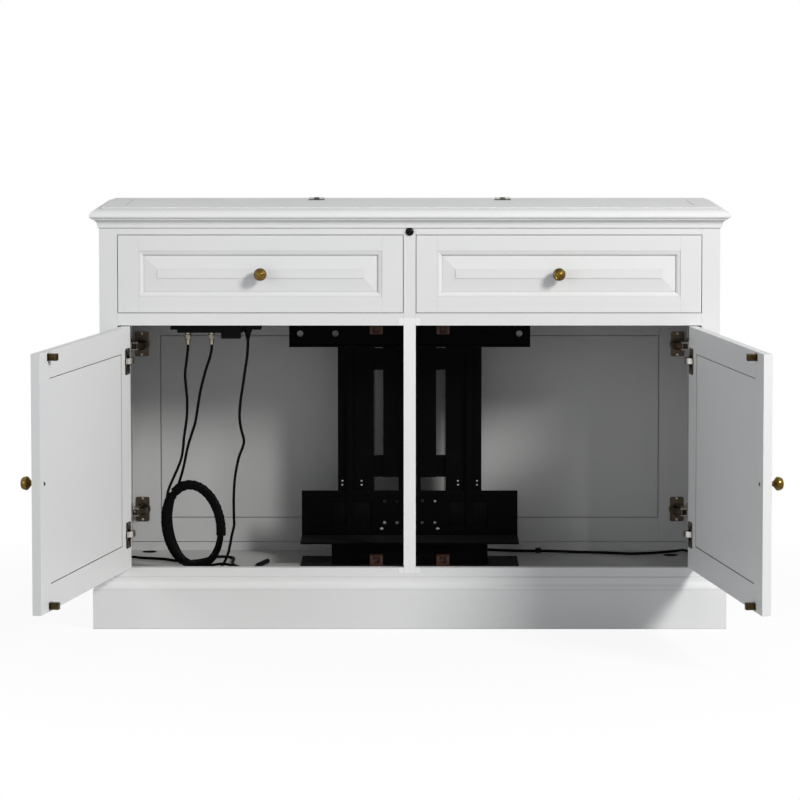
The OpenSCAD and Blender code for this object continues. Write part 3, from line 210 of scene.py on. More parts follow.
def paint(name, tone, grain=None, gloss=0.22, centre=False):
    """Sprayed satin lacquer: a faint orange peel, a trace of the boards' grain, dust specks, and painted
    shade in the quirks.
    """
    g = Graph(name, tone, 0.42, Specular_IOR_Level=gloss)
    warm = (tone[0] * 0.965, tone[1] * 0.955, tone[2] * 0.93)
    cool = (tone[0] * 0.985, tone[1] * 0.99, min(1, tone[2] * 1.005))
    # painted shade: the colour that darkens the quirks and crevices
    crevice_shade = tuple(c * 0.5 for c in warm)
    lining = g.zone(*LINING_BOX)
    patches = g.mix(g.ramp(g.noise(2.4, 4), (0.35, 0.0), (0.7, 1.0)), tone, cool)
    # painted shade: ambient occlusion darkens the quirks and crevices outside the case, mixed over the tone
    # patches
    tone_with_painted_shade = g.mix(g.math("MAXIMUM", g.shade(QUIRK_SHADE_REACH), lining), crevice_shade, patches)
    specks = g.ramp(g.cells(140), (0.0, 0.0), (0.035, 1.0))
    coat = g.mix(g.math("MULTIPLY", g.math("SUBTRACT", 1.0, specks), DUST_SHARE), tone_with_painted_shade, warm)
    # painted light: the stile between the doors is brightened where more light falls on it
    if centre:
        coat = g.mix(g.zone(*STILE_BOX), coat, STILE_PAINTED_LIGHT, "MULTIPLY")
    # the inside of the case is darkened: partly a greyer coat, partly painted shade
    g.color(g.mix(lining, coat, LINING_GREY_AND_SHADE, "MULTIPLY"))
    g.roughness(g.ramp(g.noise(9, 4), (0.3, 0.38), (0.7, 0.47)))
    layers = [(g.noise(430, 2), 0.000035), (g.noise(60, 2), 0.00006)]
    if grain:
        layers.append((g.noise(1.0, 4, 0.6, g.stretched(grain)), 0.00005))
    g.bump(*layers)
    return g.material


def wood(name, light, dark):
    """Planed poplar with its grain along X: long streaks, fine pores and faint growth bands."""
    g = Graph(name, light, 0.55, Specular_IOR_Level=0.35)
    bands = g.noise(1.0, 5, 0.62, g.stretched((3, 90, 90)), 0.6)
    pores = g.noise(1.0, 3, 0.7, g.stretched((25, 900, 900)))
    base = g.mix(g.ramp(bands, (0.32, 0.0), (0.68, 1.0)), light, dark)
    g.color(g.mix(g.ramp(pores, (0.45, 0.0), (0.8, 0.35)), base, tuple(c * 0.7 for c in dark)))
    g.roughness(g.ramp(bands, (0.3, 0.5), (0.7, 0.62)))
    g.bump((pores, 0.00008), (bands, 0.00012))
    return g.material


HOLLOW_REACH = 0.0035


def metal(name, color, dark, rough, spread, brushed=None, age=0.5):
    """Plated or rubbed metal: tarnish in the hollows, a little brushing and uneven gloss."""
    g = Graph(name, color, rough, 1.0)
    cloud = g.ramp(g.noise(70, 5, 0.6), (0.35, 0.0), (0.72, age))
    base = g.mix(cloud, color, dark)
    g.color(g.mix(g.shade(HOLLOW_REACH), tuple(c * 0.55 for c in dark), base))
    g.roughness(g.ramp(g.noise(160, 4), (0.3, rough - spread / 2), (0.7, rough + spread)))
    layers = [(g.noise(700, 2), 0.000012)]
    if brushed:
        layers.append((g.noise(1.0, 3, 0.6, g.stretched(brushed)), 0.00002))
    g.bump(*layers)
    return g.material


POWDER_DUST = (0.014, 0.014, 0.0143)


def powder(name, color, rough=0.46, grain=900, depth=0.00005):
    """Powder coat: a close pebbled skin, rubbed lighter in places, with dust on the upper faces."""
    g = Graph(name, color, rough, Specular_IOR_Level=0.025)
    rubbed = tuple(min(1, c * 2.0 + 0.001) for c in color)
    normal = g.node("ShaderNodeNewGeometry").outputs["True Normal"]
    upward = g.node("ShaderNodeSeparateXYZ", Vector=normal).outputs["Z"]
    dust = g.math("MULTIPLY", g.ramp(upward, (0.6, 0.0), (0.95, 1.0)),
                  g.ramp(g.noise(60, 4), (0.2, 0.5), (0.8, 0.9)))
    coat = g.mix(g.ramp(g.noise(24, 5, 0.65), (0.5, 0.0), (0.85, 0.6)), color, rubbed)
    g.color(g.mix(dust, coat, POWDER_DUST))
    g.roughness(g.ramp(g.noise(35, 4), (0.3, rough - 0.06), (0.7, rough + 0.08)))
    g.bump((g.cells(grain), depth), (g.noise(grain * 0.35, 2), depth * 0.6))
    return g.material


def plastic(name, color, rough, grain, depth, **sockets):
    """Moulded plastic or rubber with a fine spark grain and handling marks."""
    g = Graph(name, color, rough, **sockets)
    dull = tuple(min(1, c * 1.4 + 0.001) for c in color)
    g.color(g.mix(g.ramp(g.noise(40, 5, 0.6), (0.48, 0.0), (0.8, 0.7)), color, dull))
    g.roughness(g.ramp(g.noise(55, 4), (0.3, rough - 0.05), (0.7, rough + 0.09)))
    g.bump((g.noise(grain, 2), depth))
    return g.material


WHITE = (0.80, 0.80, 0.795)
BOARDS = (6, 240, 240)
mat = {
    "case": paint("painted_case", WHITE),
    "wide": paint("painted_wide_boards", WHITE, BOARDS),
    "top": paint("painted_top", (0.87, 0.87, 0.865), BOARDS, 0.06),
    "crown": paint("painted_crown", (0.82, 0.82, 0.815)),
    "floor": paint("painted_floor_board", (0.65, 0.65, 0.64), BOARDS, 0.4),
    "upright": paint("painted_upright_boards", WHITE, (240, 240, 6), centre=True),
    "doors": paint("painted_doors", (0.80, 0.80, 0.797), (240, 240, 7)),
    "wood": wood("drawer_poplar", (0.62, 0.43, 0.25), (0.50, 0.31, 0.16)),
    "bronze": metal("hinge_bronze", (0.115, 0.088, 0.062), (0.03, 0.022, 0.016), 0.38, 0.14,
                    (300, 300, 30)),
    "nickel": metal("hinge_nickel", (0.60, 0.57, 0.52), (0.22, 0.2, 0.17), 0.28, 0.1, (40, 400, 400), 0.4),
    "brass": metal("knob_aged_brass", (0.215, 0.135, 0.032), (0.035, 0.019, 0.005), 0.2, 0.1, None, 0.95),
    "strike": metal("strike_bronze", (0.085, 0.06, 0.024), (0.016, 0.009, 0.004), 0.3, 0.12,
                    (300, 300, 40), 0.9),
    "hinge_steel": metal("lid_knuckle_steel", (0.15, 0.148, 0.14), (0.06, 0.058, 0.055), 0.4, 0.12,
                         (300, 30, 300)),
    "leaf": metal("lid_leaf_steel", (0.58, 0.585, 0.55), (0.4, 0.4, 0.37), 0.42, 0.12, (300, 30, 300)),
    "dark_screw": metal("dark_steel_screws", (0.07, 0.068, 0.064), (0.02, 0.02, 0.019), 0.4, 0.12),
    "dull": metal("dulled_screws", (0.16, 0.16, 0.155), (0.06, 0.06, 0.058), 0.4, 0.12),
    "zinc": metal("zinc_screws", (0.52, 0.52, 0.5), (0.2, 0.2, 0.19), 0.3, 0.12),
    "plated": metal("connector_nickel", (0.4, 0.36, 0.28), (0.13, 0.11, 0.075), 0.24, 0.1, None, 0.6),
    "black": powder("lift_powder_coat", (0.0014, 0.0014, 0.0015)),
    "motor": powder("motor_housing_coat", (0.0024, 0.0024, 0.0026), 0.42, 500, 0.00008),
    "catch": plastic("catch_brown_plastic", (0.034, 0.015, 0.009), 0.4, 900, 0.00003,
                     Specular_IOR_Level=0.2),
    "magnet": plastic("catch_magnet", (0.10, 0.05, 0.034), 0.45, 900, 0.00003, Specular_IOR_Level=0.2),
    "box": plastic("control_box_plastic", (0.003, 0.003, 0.0032), 0.42, 1100, 0.00005,
                   Specular_IOR_Level=0.06),
    "eye": plastic("receiver_eye", (0.002, 0.0015, 0.002), 0.2, 300, 0.000004, Specular_IOR_Level=0.12),
    "rubber": plastic("lead_rubber", (0.0025, 0.0025, 0.0025), 0.5, 1800, 0.00003,
                      Specular_IOR_Level=0.04),
    "tape": plastic("coil_tape", (0.0018, 0.0018, 0.002), 0.42, 260, 0.00016, Specular_IOR_Level=0.035),
    "plug": plastic("plug_plastic", (0.004, 0.004, 0.0042), 0.42, 1300, 0.00003, Specular_IOR_Level=0.08),
}


def spline(points, n):
    """The same smooth curve through its points that the frame's leads follow."""
    out = []
    last = len(points) - 1
    for i in range(last):
        a, b, c, d = (points[max(0, min(last, k))] for k in (i - 1, i, i + 1, i + 2))
        for k in range(n):
            t = k / n
            out.append(0.5 * (2 * b + (c - a) * t + (2 * a - 5 * b + 4 * c - d) * t * t
                              + (3 * b - a - 3 * c + d) * t * t * t))
    return out + [points[last]]


def vectors(rows):
    return [Vector(r) for r in rows]


def circle(sides):
    """Steps round a circle, each (cos, sin)."""
    return [(math.cos(2 * math.pi * k / sides), math.sin(2 * math.pi * k / sides)) for k in range(sides)]


def rounded_box(sides, power_x, power_y, half_x, half_y):
    """Closed outline between an ellipse, at power 1, and a box, at power 0."""
    return [(math.copysign(abs(c) ** power_x, c) * half_x, math.copysign(abs(s) ** power_y, s) * half_y)
            for c, s in circle(sides)]


def facing(at, way):
    """Place whose local Z looks along a direction."""
    return Matrix.Translation(Vector(at)) @ Vector(way).to_track_quat("Z", "Y").to_matrix().to_4x4()


def lying(at, heading):
    """Place whose local Z lies level, at an angle in radians from +X."""
    return (Matrix.Translation(at) @ Matrix.Rotation(heading, 4, "Z")
            @ Matrix.Rotation(math.radians(90), 4, "Y"))


# Leads: the frame's routes, and the heights at which they lie
ON_FLOOR = Z_FLOOR + LEAD_D / 2 + 0.1
ON_GROUND = LEAD_D / 2 + 0.2
PITCH = LEAD_D + 0.6


def layer_share(s, turns):
    """0 in the coil's first layer and 1 in its second, with a slope over half a turn at its middle."""
    return min(1, max(0, (s - turns / 2 + 0.25) * 2))


def pile_in(s, turns):
    """How far the coil has wound inward: in over the first layer, out again over the second."""
    return (s if s < turns / 2 else turns - s) * PITCH


def turns_of(turns, rings=24):
    n = round(turns * rings)
    return [i * turns / n for i in range(n + 1)]


COIL_TURNS = 4.4
COIL_CENTRE = Vector((-473, -120, Z_FLOOR + 100.5))
COIL_HALF_W = 66.5
COIL_HALF_H = 97
COIL_START = 138
LEAN = math.radians(9)


def oval_at(a, half_w, half_h, y=0.0):
    """Point of the standing coil's leaning oval at an angle."""
    x, z = half_w * math.cos(a), half_h * math.sin(a)
    return COIL_CENTRE + Vector((x * math.cos(LEAN) - z * math.sin(LEAN), y,
                                 x * math.sin(LEAN) + z * math.cos(LEAN)))


def oval_point(s):
    inward = pile_in(s, COIL_TURNS)
    return oval_at(math.radians(COIL_START + 360 * s), COIL_HALF_W - inward, COIL_HALF_H - inward,
                   (layer_share(s, COIL_TURNS) - 0.5) * PITCH)


MAINS_TURNS = 4
MAINS_R = 5.5 * LEAD_D + PITCH * MAINS_TURNS / 4
MAINS_COIL_X = -560
MAINS_COIL_Y = 60


def round_point(s):
    """Point of the coil that lies on the ground inside the plinth."""
    a = math.radians(90 - 360 * s)
    r = MAINS_R - pile_in(s, MAINS_TURNS)
    return Vector((MAINS_COIL_X + r * math.cos(a), MAINS_COIL_Y + r * math.sin(a),
                   ON_GROUND + layer_share(s, MAINS_TURNS) * PITCH))


oval = [oval_point(s) for s in turns_of(COIL_TURNS)]
ring = [round_point(s) for s in turns_of(MAINS_TURNS)]
oval_in = (oval[0] - oval[1]).normalized()
oval_out = (oval[-1] - oval[-2]).normalized()
ring_in = (ring[0] - ring[1]).normalized()
ring_out = (ring[-1] - ring[-2]).normalized()
gland_z = Z_PLATE + 12
motor_drop = vectors([
    (-482.5, -130, 612), (-483, -130, 600), (-486, -130, 575), (-489, -130, 546), (-487, -129, 515),
    (-485, -128, 490), (-486, -127, 453), (-492, -126, 410), (-499, -125, 360)]) + [
    oval[0] + 26 * oval_in + Vector((0, 0, 3)), oval[0] + 6 * oval_in, oval[0]]
motor_tail = [oval[-1], oval[-1] + 6 * oval_out, oval[-1] + 20 * oval_out + Vector((0, -2, 0))] + vectors([
    (-409, -125, 129.5), (-394, -135.5, 129), (-381, -147.5, 126.5), (-368, -157.5, 123.2),
    (-352, -164, 118.5), (-333, -166.5, ON_FLOOR), (-308, -165, ON_FLOOR), (-280, -162, ON_FLOOR),
    (-230, -158, ON_FLOOR), (-190, -146, ON_FLOOR), (-160, -126, ON_FLOOR + 1), (-135, -108, 119.1),
    (-115, -90, 121.1), (-105, -74, 126),
    (-104, -64, gland_z), (-104, -58, gland_z)])
aux_route = vectors([
    (-431, -130, 612), (-431.5, -130, 600), (-436, -129, 580), (-445, -128, 553), (-456, -126, 510),
    (-462, -124, 475), (-468, -121, 440), (-480, -117, 403), (-487, -113, 377), (-495, -108, 340),
    (-505, -105, 305), (-517, -104, 270), (-523, -104, 230), (-518, -104, 190), (-506, -104, 158),
    (-488, -104, 132), (-467, -103.5, 119.5), (-450, -107.5, 116.4), (-434, -126, ON_FLOOR),
    (-422, -141, ON_FLOOR), (-407, -153, ON_FLOOR), (-388, -158, ON_FLOOR), (-368, -156, ON_FLOOR),
    (-353, -147, ON_FLOOR), (-343.5, -131, ON_FLOOR), (-338.5, -110, ON_FLOOR + 1.5),
    (-337, -88, ON_FLOOR + 2.5)])
mains_route = vectors([
    (-352, -130, 622.5), (-352, -130, 612), (-354, -130, 586), (-359, -129, 552), (-364, -128, 519),
    (-369, -126, 485), (-371, -125, 452), (-368, -123, 427), (-362, -120, 401), (-365, -118, 385),
    (-374, -117, 360), (-382, -115, 318), (-385, -111, 275), (-385, -107, 232), (-385, -104, 211),
    (-390, -101, 189), (-394, -99, 168), (-398, -97.5, 150), (-403.5, -98, 135.5), (-409, -101.5, 125),
    (-414.5, -110.5, 118.4), (-416.5, -122, ON_FLOOR), (-413, -135, ON_FLOOR),
    (-403.5, -144.5, ON_FLOOR), (-390.5, -148, ON_FLOOR), (-377.5, -144.5, ON_FLOOR),
    (-368, -135, ON_FLOOR), (-364.5, -122, ON_FLOOR), (-365.5, -108, ON_FLOOR), (-372, -91, ON_FLOOR),
    (-381.5, -73, ON_FLOOR), (-389, -52, ON_FLOOR), (-392.5, -28, ON_FLOOR), (-392.5, 0, ON_FLOOR),
    (-392.5, 31, ON_FLOOR), (-396.1, 44.5, ON_FLOOR), (-406, 54.4, ON_FLOOR), (-419.5, 58, ON_FLOOR),
    (-433, 54.4, ON_FLOOR), (-443.5, 45, ON_FLOOR), (-453, 29, ON_FLOOR), (-463.5, 12, ON_FLOOR),
    (-478, -1.5, ON_FLOOR), (-496, -7, ON_FLOOR), (-514, -2, ON_FLOOR), (-529, 10, ON_FLOOR),
    (-548, 25, ON_FLOOR), (-574, 34, ON_FLOOR), (-602, 35, ON_FLOOR + 1.2), (-618, 34, ON_FLOOR + 3),
    (-630.5, 34, ON_FLOOR - 0.4), (-639.6, 34, ON_FLOOR - 9.5), (-643, 34, ON_FLOOR - 22),
    (-642.5, 34, 72), (-641, 35, 50), (-638, 39, 28), (-629.5, 51, 11.5), (-617, 69, ON_GROUND + 1),
    (-603, 84, ON_GROUND), (-588, 95, ON_GROUND)]) + [
    ring[0] + 12 * ring_in, ring[0] + 6 * ring_in, ring[0]]
plug_at = ring[-1] + 60 * ring_out
mains_tail = [ring[-1], ring[-1] + 6 * ring_out, ring[-1] + 30 * ring_out, plug_at - 6 * ring_out, plug_at]
right_route = vectors([
    (20, 74, 136), (20, 82, 136), (24, 96, 134), (36, 118, 126), (60, 138, ON_FLOOR + 3),
    (92, 152, ON_FLOOR), (128, 159, ON_FLOOR), (165, 160, ON_FLOOR), (205, 150, ON_FLOOR),
    (240, 142, ON_FLOOR), (270, 140, ON_FLOOR), (291, 140, ON_FLOOR), (312, 139, ON_FLOOR),
    (340, 133, ON_FLOOR), (366, 126, ON_FLOOR), (410, 119, ON_FLOOR), (452, 112, ON_FLOOR),
    (494, 101, ON_FLOOR), (528, 106, ON_FLOOR), (560, 116, ON_FLOOR), (600, 130, ON_FLOOR + 1.2),
    (618, 132, ON_FLOOR + 3), (630.5, 132, ON_FLOOR - 0.4), (639.6, 132, ON_FLOOR - 9.5),
    (643, 132, ON_FLOOR - 22), (642.5, 131, 70), (641, 127, 46), (638, 118, 25), (630, 104, 10.5),
    (622, 88, ON_GROUND + 2.5), (614, 71, ON_GROUND + 1.5), (609, 57, ON_GROUND + 1.5)])


def joined(*paths):
    """One path of several, each of which starts where the one before it ends."""
    path = list(paths[0])
    for more in paths[1:]:
        path += more[1:]
    return path


def lead_piece(name, path):
    data = bpy.data.curves.new(name, "CURVE")
    data.dimensions = "3D"
    data.bevel_depth = LEAD_D / 2 / 1000
    data.bevel_resolution = 5
    data.use_fill_caps = True
    line = data.splines.new("POLY")
    line.points.add(len(path) - 1)
    for point, at in zip(line.points, path):
        point.co = (*(at / 1000), 1)
    line.use_smooth = True
    data.materials.append(mat["rubber"])
    made = scene_object(name, data)
    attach(made, CASE_BODY)
    return made


fine_oval = [oval_point(s) for s in turns_of(COIL_TURNS, 48)]
fine_ring = [round_point(s) for s in turns_of(MAINS_TURNS, 48)]
motor_path = joined(spline(motor_drop, 8), fine_oval, spline(motor_tail, 8))
mains_path = joined(spline(mains_route, 8), fine_ring, spline(mains_tail, 6))
aux_path = spline(aux_route, 8)
right_path = spline(right_route, 8)


# Mesh pieces
def wall(rings, sides):
    """Quads between rings of points that follow each other."""
    return [(a + k, a + (k + 1) % sides, a + sides + (k + 1) % sides, a + sides + k)
            for a in range(0, (rings - 1) * sides, sides) for k in range(sides)]


class Shape:
    """One mesh, in millimetres, gathered from several closed forms."""

    def __init__(self):
        self.bm = bmesh.new()
        self.slots = []

    def add(self, verts, faces, place=None, material=None):
        place = place or Matrix.Identity(4)
        made = [self.bm.verts.new(place @ Vector(v)) for v in verts]
        if material and material not in self.slots:
            self.slots.append(material)
        index = self.slots.index(material) if material else 0
        for face in faces:
            self.bm.faces.new([made[i] for i in face]).material_index = index

    def take(self, part, place, material):
        """Adds the forms of another bmesh and frees it."""
        part.verts.index_update()
        self.add([v.co.copy() for v in part.verts], [[v.index for v in f.verts] for f in part.faces],
                 place, material)
        part.free()

    def lathe(self, profile, place, sides, material=None):
        """Closed turning about the local Z axis of (radius, height) points, from the axis to the axis."""
        rings = profile[1:-1]
        verts = [(r * c, r * s, z) for r, z in rings for c, s in circle(sides)]
        faces = wall(len(rings), sides)
        verts += [(0, 0, profile[0][1]), (0, 0, profile[-1][1])]
        foot, top = len(verts) - 2, len(verts) - 1
        last = (len(rings) - 1) * sides
        for k in range(sides):
            faces.append((foot, (k + 1) % sides, k))
            faces.append((top, last + k, last + (k + 1) % sides))
        self.add(verts, faces, place, material)

    def slab(self, low, high, bevel, place=None, material=None):
        """Box with rounded edges."""
        part = bmesh.new()
        bmesh.ops.create_cube(part, size=1)
        low, high = Vector(low), Vector(high)
        for v in part.verts:
            v.co = Vector(((low[i] + high[i]) / 2 + v.co[i] * (high[i] - low[i]) for i in range(3)))
        bmesh.ops.bevel(part, geom=list(part.edges), offset=bevel, segments=2, profile=0.5, affect="EDGES")
        self.take(part, place, material)

    def prism(self, outline, low, high, place, material, bevel):
        """Upright prism with rounded rims on a closed outline, counter-clockwise seen from above."""
        n = len(outline)
        part = bmesh.new()
        made = [part.verts.new((x, y, z)) for z in (low, high) for x, y in outline]
        for face in [tuple(range(n - 1, -1, -1)), tuple(range(n, 2 * n))] + wall(2, n):
            part.faces.new([made[i] for i in face])
        rims = [e for e in part.edges if len(e.link_faces) == 2 and e.calc_face_angle() > 0.5]
        bmesh.ops.bevel(part, geom=rims, offset=bevel, segments=2, profile=0.5, affect="EDGES")
        self.take(part, place, material)

    def screw(self, at, way, r, dome, material=None, turn=0.0):
        """Domed head with a cross recess, its foot at a point and its top along a direction."""
        sides = 32
        rings = [(r, 0.0), (r, dome * 0.35), (r * 0.9, dome * 0.72), (r * 0.7, dome * 0.93), (r * 0.52, dome)]
        verts = [(q * c, q * s, z) for q, z in rings for c, s in circle(sides)]
        arm_half_w = r * 0.13
        floor_z = dome - min(0.9, dome * 0.7)
        rim = []
        for c, s in circle(sides):
            x, y = r * 0.5 * c, r * 0.5 * s
            on_arm = max(abs(x), abs(y)) > 0.62 * r * 0.5 and min(abs(x), abs(y)) < arm_half_w * 1.6
            scale = 0.98 if on_arm else 0.42
            rim.append((x * scale, y * scale))
        verts += [(x, y, dome - 0.02) for x, y in rim]
        verts += [(x * 0.7, y * 0.7, floor_z) for x, y in rim]
        faces = wall(len(rings) + 2, sides)
        verts += [(0, 0, floor_z), (0, 0, 0)]
        last = (len(rings) + 1) * sides
        for k in range(sides):
            faces.append((len(verts) - 2, last + k, last + (k + 1) % sides))
            faces.append((len(verts) - 1, (k + 1) % sides, k))
        self.add(verts, faces, facing(at, way) @ Matrix.Rotation(turn, 4, "Z"), material)

    def sweep(self, path, section, normals, closed=False):
        """Section of (side, up) points carried along a path; up is the given normal at each point."""
        n = len(section)
        verts = []
        last = len(path) - 1
        for i, p in enumerate(path):
            if closed:
                along = (path[(i + 1) % len(path)] - path[i - 1]).normalized()
            else:
                along = (path[min(i + 1, last)] - path[max(i - 1, 0)]).normalized()
            up = (normals[i] - along * normals[i].dot(along)).normalized()
            side = along.cross(up)
            verts += [p + side * a + up * b for a, b in section]
        faces = []
        for i in range(last + (1 if closed else 0)):
            j = (i + 1) % len(path)
            for k in range(n):
                faces.append((i * n + k, i * n + (k + 1) % n, j * n + (k + 1) % n, j * n + k))
        if not closed:
            faces += [tuple(range(n - 1, -1, -1)), tuple(last * n + k for k in range(n))]
        self.add(verts, faces)

    def done(self, name, body, material, sharp=34, place=None):
        """The finished piece, riding on its body; edges sharper than an angle stay crisp."""
        bmesh.ops.recalc_face_normals(self.bm, faces=self.bm.faces)
        for v in self.bm.verts:
            v.co = (place @ v.co if place else v.co) / 1000
        if place and place.determinant() < 0:
            bmesh.ops.reverse_faces(self.bm, faces=self.bm.faces)
        mesh = bpy.data.meshes.new(name)
        self.bm.to_mesh(mesh)
        self.bm.free()
        mesh.shade_smooth()
        mesh.set_sharp_from_angle(angle=math.radians(sharp))
        for m in self.slots or [material]:
            mesh.materials.append(m)
        made = scene_object(name, mesh)
        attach(made, body)
        return made


MIRROR_X = Matrix.Diagonal((-1, 1, 1, 1))
MIRROR_Y = Matrix.Diagonal((1, -1, 1, 1))


def swing(angle):
    """Turn about the right front door's axis."""
    return (Matrix.Translation(PIVOT) @ Matrix.Rotation(math.radians(angle), 4, "Z")
            @ Matrix.Translation(-PIVOT))


# From the right front door, shut, to each door's place at rest
DOORS = {
    "left_door": MIRROR_X @ swing(LEFT_OPEN),
    "right_door": swing(RIGHT_OPEN),
    "rear_left": MIRROR_X @ MIRROR_Y,
    "rear_right": MIRROR_Y,
}

# The four leads
motor = lead_piece("motor_lead_run", motor_path)
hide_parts("motor_lead", "motor_lead_coil")
aux = lead_piece("spare_lead_run", aux_path)
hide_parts("aux_lead")
mains = lead_piece("mains_lead_run", mains_path)
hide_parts("mains_lead", "mains_lead_coil")
right = lead_piece("right_lead_run", right_path)
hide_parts("right_lead")

# Tape wound round the bundle of the standing coil, in bands given in degrees; each wrap laps over the last
TAPE_BANDS = ((-20, 119), (125, 234), (241, 264))
BAND_STEP = 1.5
WRAPS = 44
LAP_H = 1.5
LAP_SINK = 0.6
MEAN_R = 80
BUNDLE_IN = 1.1 * PITCH
coil_tape = Shape()
section = rounded_box(20, 0.75, 0.8, 7.3, 10.4)
for start, stop in TAPE_BANDS:
    steps = max(4, int((stop - start) / BAND_STEP))
    angles = [math.radians(start + (stop - start) * k / steps) for k in range(steps + 1)]
    path = [oval_at(a, COIL_HALF_W - BUNDLE_IN, COIL_HALF_H - BUNDLE_IN) for a in angles]
    coil_tape.sweep(path, section, [(centre - COIL_CENTRE).normalized() for centre in path])
for v in coil_tape.bm.verts:
    d = v.co - COIL_CENTRE
    a = math.atan2(d.z, d.x)
    lap = (a * WRAPS / (2 * math.pi) + math.atan2(d.y, d.length - MEAN_R) / (2 * math.pi)) % 1
    v.co += (Vector((d.x, 0, d.z)).normalized() * (LAP_H * lap - LAP_SINK)
             + Vector((0, math.copysign(0.5 * lap, d.y), 0)))
tape = coil_tape.done("coil_tape", CASE_BODY, mat["tape"], 30)

# Plugs on the leads' ends
plugs = Shape()
mains_place = lying(plug_at, math.atan2(ring_out.y, ring_out.x))
relief = [(0, 0), (LEAD_D / 2 + 0.5, 0)]
for k in range(6):
    z, r = 1.5 + 3.4 * k, LEAD_D / 2 + 0.6 + 0.42 * k
    relief += [(r, z), (r + 0.9, z + 0.7), (r + 0.9, z + 1.8), (r, z + 2.5)]
relief += [(LEAD_D / 2 + 3, 21.5), (0, 21.5)]
plugs.lathe(relief, mains_place, 32, mat["plug"])
plugs.prism(rounded_box(40, 0.45, 0.45, 9.5, 12), 20.5, 50, mains_place, mat["plug"], 1.2)
for k in range(5):
    plugs.slab((-9.7, -5.5, 26 + 4 * k), (9.7, 5.5, 27.6 + 4 * k), 0.5, mains_place, mat["plug"])
plugs.lathe([(0, 50), (8.2, 50), (7.6, 51.2), (0, 51.2)], mains_place, 32, mat["plug"])
for side in (-1, 1):
    plugs.slab((-3.2, side * 6.35 - 0.75, 50.5), (3.2, side * 6.35 + 0.75, 67.5), 0.35, mains_place,
               mat["plated"])
plugs.lathe([(0, 50.5), (2.4, 50.5), (2.4, 68.6), (1.9, 70.2), (1.0, 70.9), (0, 71)],
            mains_place @ Matrix.Translation((5.5, 0, 0)), 24, mat["plated"])
mains_plug = plugs.done("mains_plug", CASE_BODY, mat["plug"])

barrel = Shape()
profile = [(0, 0), (3.4, 0), (3.9, 0.6), (4.0, 3)]
for k in range(4):
    r, z = 0.3 * k, 1.6 * k
    profile += [(4.1 + r, 3.4 + z), (4.5 + r, 4.0 + z), (4.5 + r, 4.7 + z)]
profile += [(5.5, 11), (5.5, 33.5), (5.1, 34), (5.1, 35), (5.5, 35.5), (5.5, 73)]
profile += [(5.5 * math.cos(math.radians(a)), 73 + 5 * math.sin(math.radians(a)))
            for a in (18, 36, 54, 72, 86)]
barrel.lathe(profile + [(0, 78)], lying(aux_route[-1], math.radians(73)), 40)
barrel_plug = barrel.done("spare_lead_plug", CASE_BODY, mat["plug"])

small = Shape()
small_place = lying(right_route[-1], math.radians(250))
small.lathe([(0, 0), (3.2, 0), (3.6, 0.5), (3.8, 3), (3.5, 3.4), (3.5, 4.4), (4.0, 4.8), (3.8, 6.2),
             (4.6, 8), (4.6, 27), (4.2, 28), (0, 28)], small_place, 32, mat["plug"])
small.lathe([(0, 27.8), (2.6, 27.8), (2.6, 39), (2.3, 39.8), (1.3, 40), (1.3, 39.2), (0, 39.2)],
            small_place, 32, mat["plated"])
small_plug = small.done("right_lead_plug", CASE_BODY, mat["plug"])
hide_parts("lead_plugs")
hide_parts("lead_plugs")
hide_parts("lead_plugs")

# Connectors of the control box, with knurled rings, and the strain relief of the mains lead
KNURL = ((5.2, 5.9), (6, 6.3), (14, 6.3), (14.7, 5.9))
KNURL_SIDES = 72
KNURL_DEPTH = 0.22
connectors = Shape()
for x in CONNECTOR_XS:
    place = facing((x, LEAD_Y, Z_DECK - 27.5), DOWN)
    connectors.lathe([(0, -0.2), (7.5, -0.2), (7.5, 0.6), (7.2, 1), (7.2, 4.4), (6.8, 5), (0, 5)], place, 6,
                     mat["plated"])
    verts = []
    for z, r in KNURL:
        for k, (c, s) in enumerate(circle(KNURL_SIDES)):
            q = r - (KNURL_DEPTH if k % 2 else 0)
            verts.append((q * c, q * s, z))
    ends = [tuple(range(KNURL_SIDES - 1, -1, -1)), tuple(3 * KNURL_SIDES + k for k in range(KNURL_SIDES))]
    connectors.add(verts, wall(len(KNURL), KNURL_SIDES) + ends, place, mat["plated"])
    connectors.lathe([(0, 14.5), (5.2, 14.5), (5.2, 16.4), (6.1, 16.8), (6.1, 19.6), (5.6, 20.4), (5.0, 21),
                      (5.0, 25.6), (4.6, 26.6), (4.0, 27), (4.0, 28), (0, 28)], place, 40, mat["plated"])
relief = [(0, 0), (8.6, 0), (9, 0.4), (9, 7.2), (8.4, 8)]
for k in range(5):
    z, r = 9 + 2.7 * k, 6.9 - 0.55 * k
    relief += [(r - 0.6, z), (r, z + 0.5), (r, z + 1.5), (r - 0.7, z + 2.0)]
connectors.lathe(relief + [(3.8, 23), (3.6, 24), (0, 24)], facing((INLET_X, LEAD_Y, Z_DECK - 21), DOWN), 40,
                 mat["plug"])
box_connectors = connectors.done("connector_set", CASE_BODY, mat["plated"], 28)
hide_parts("box_connectors")

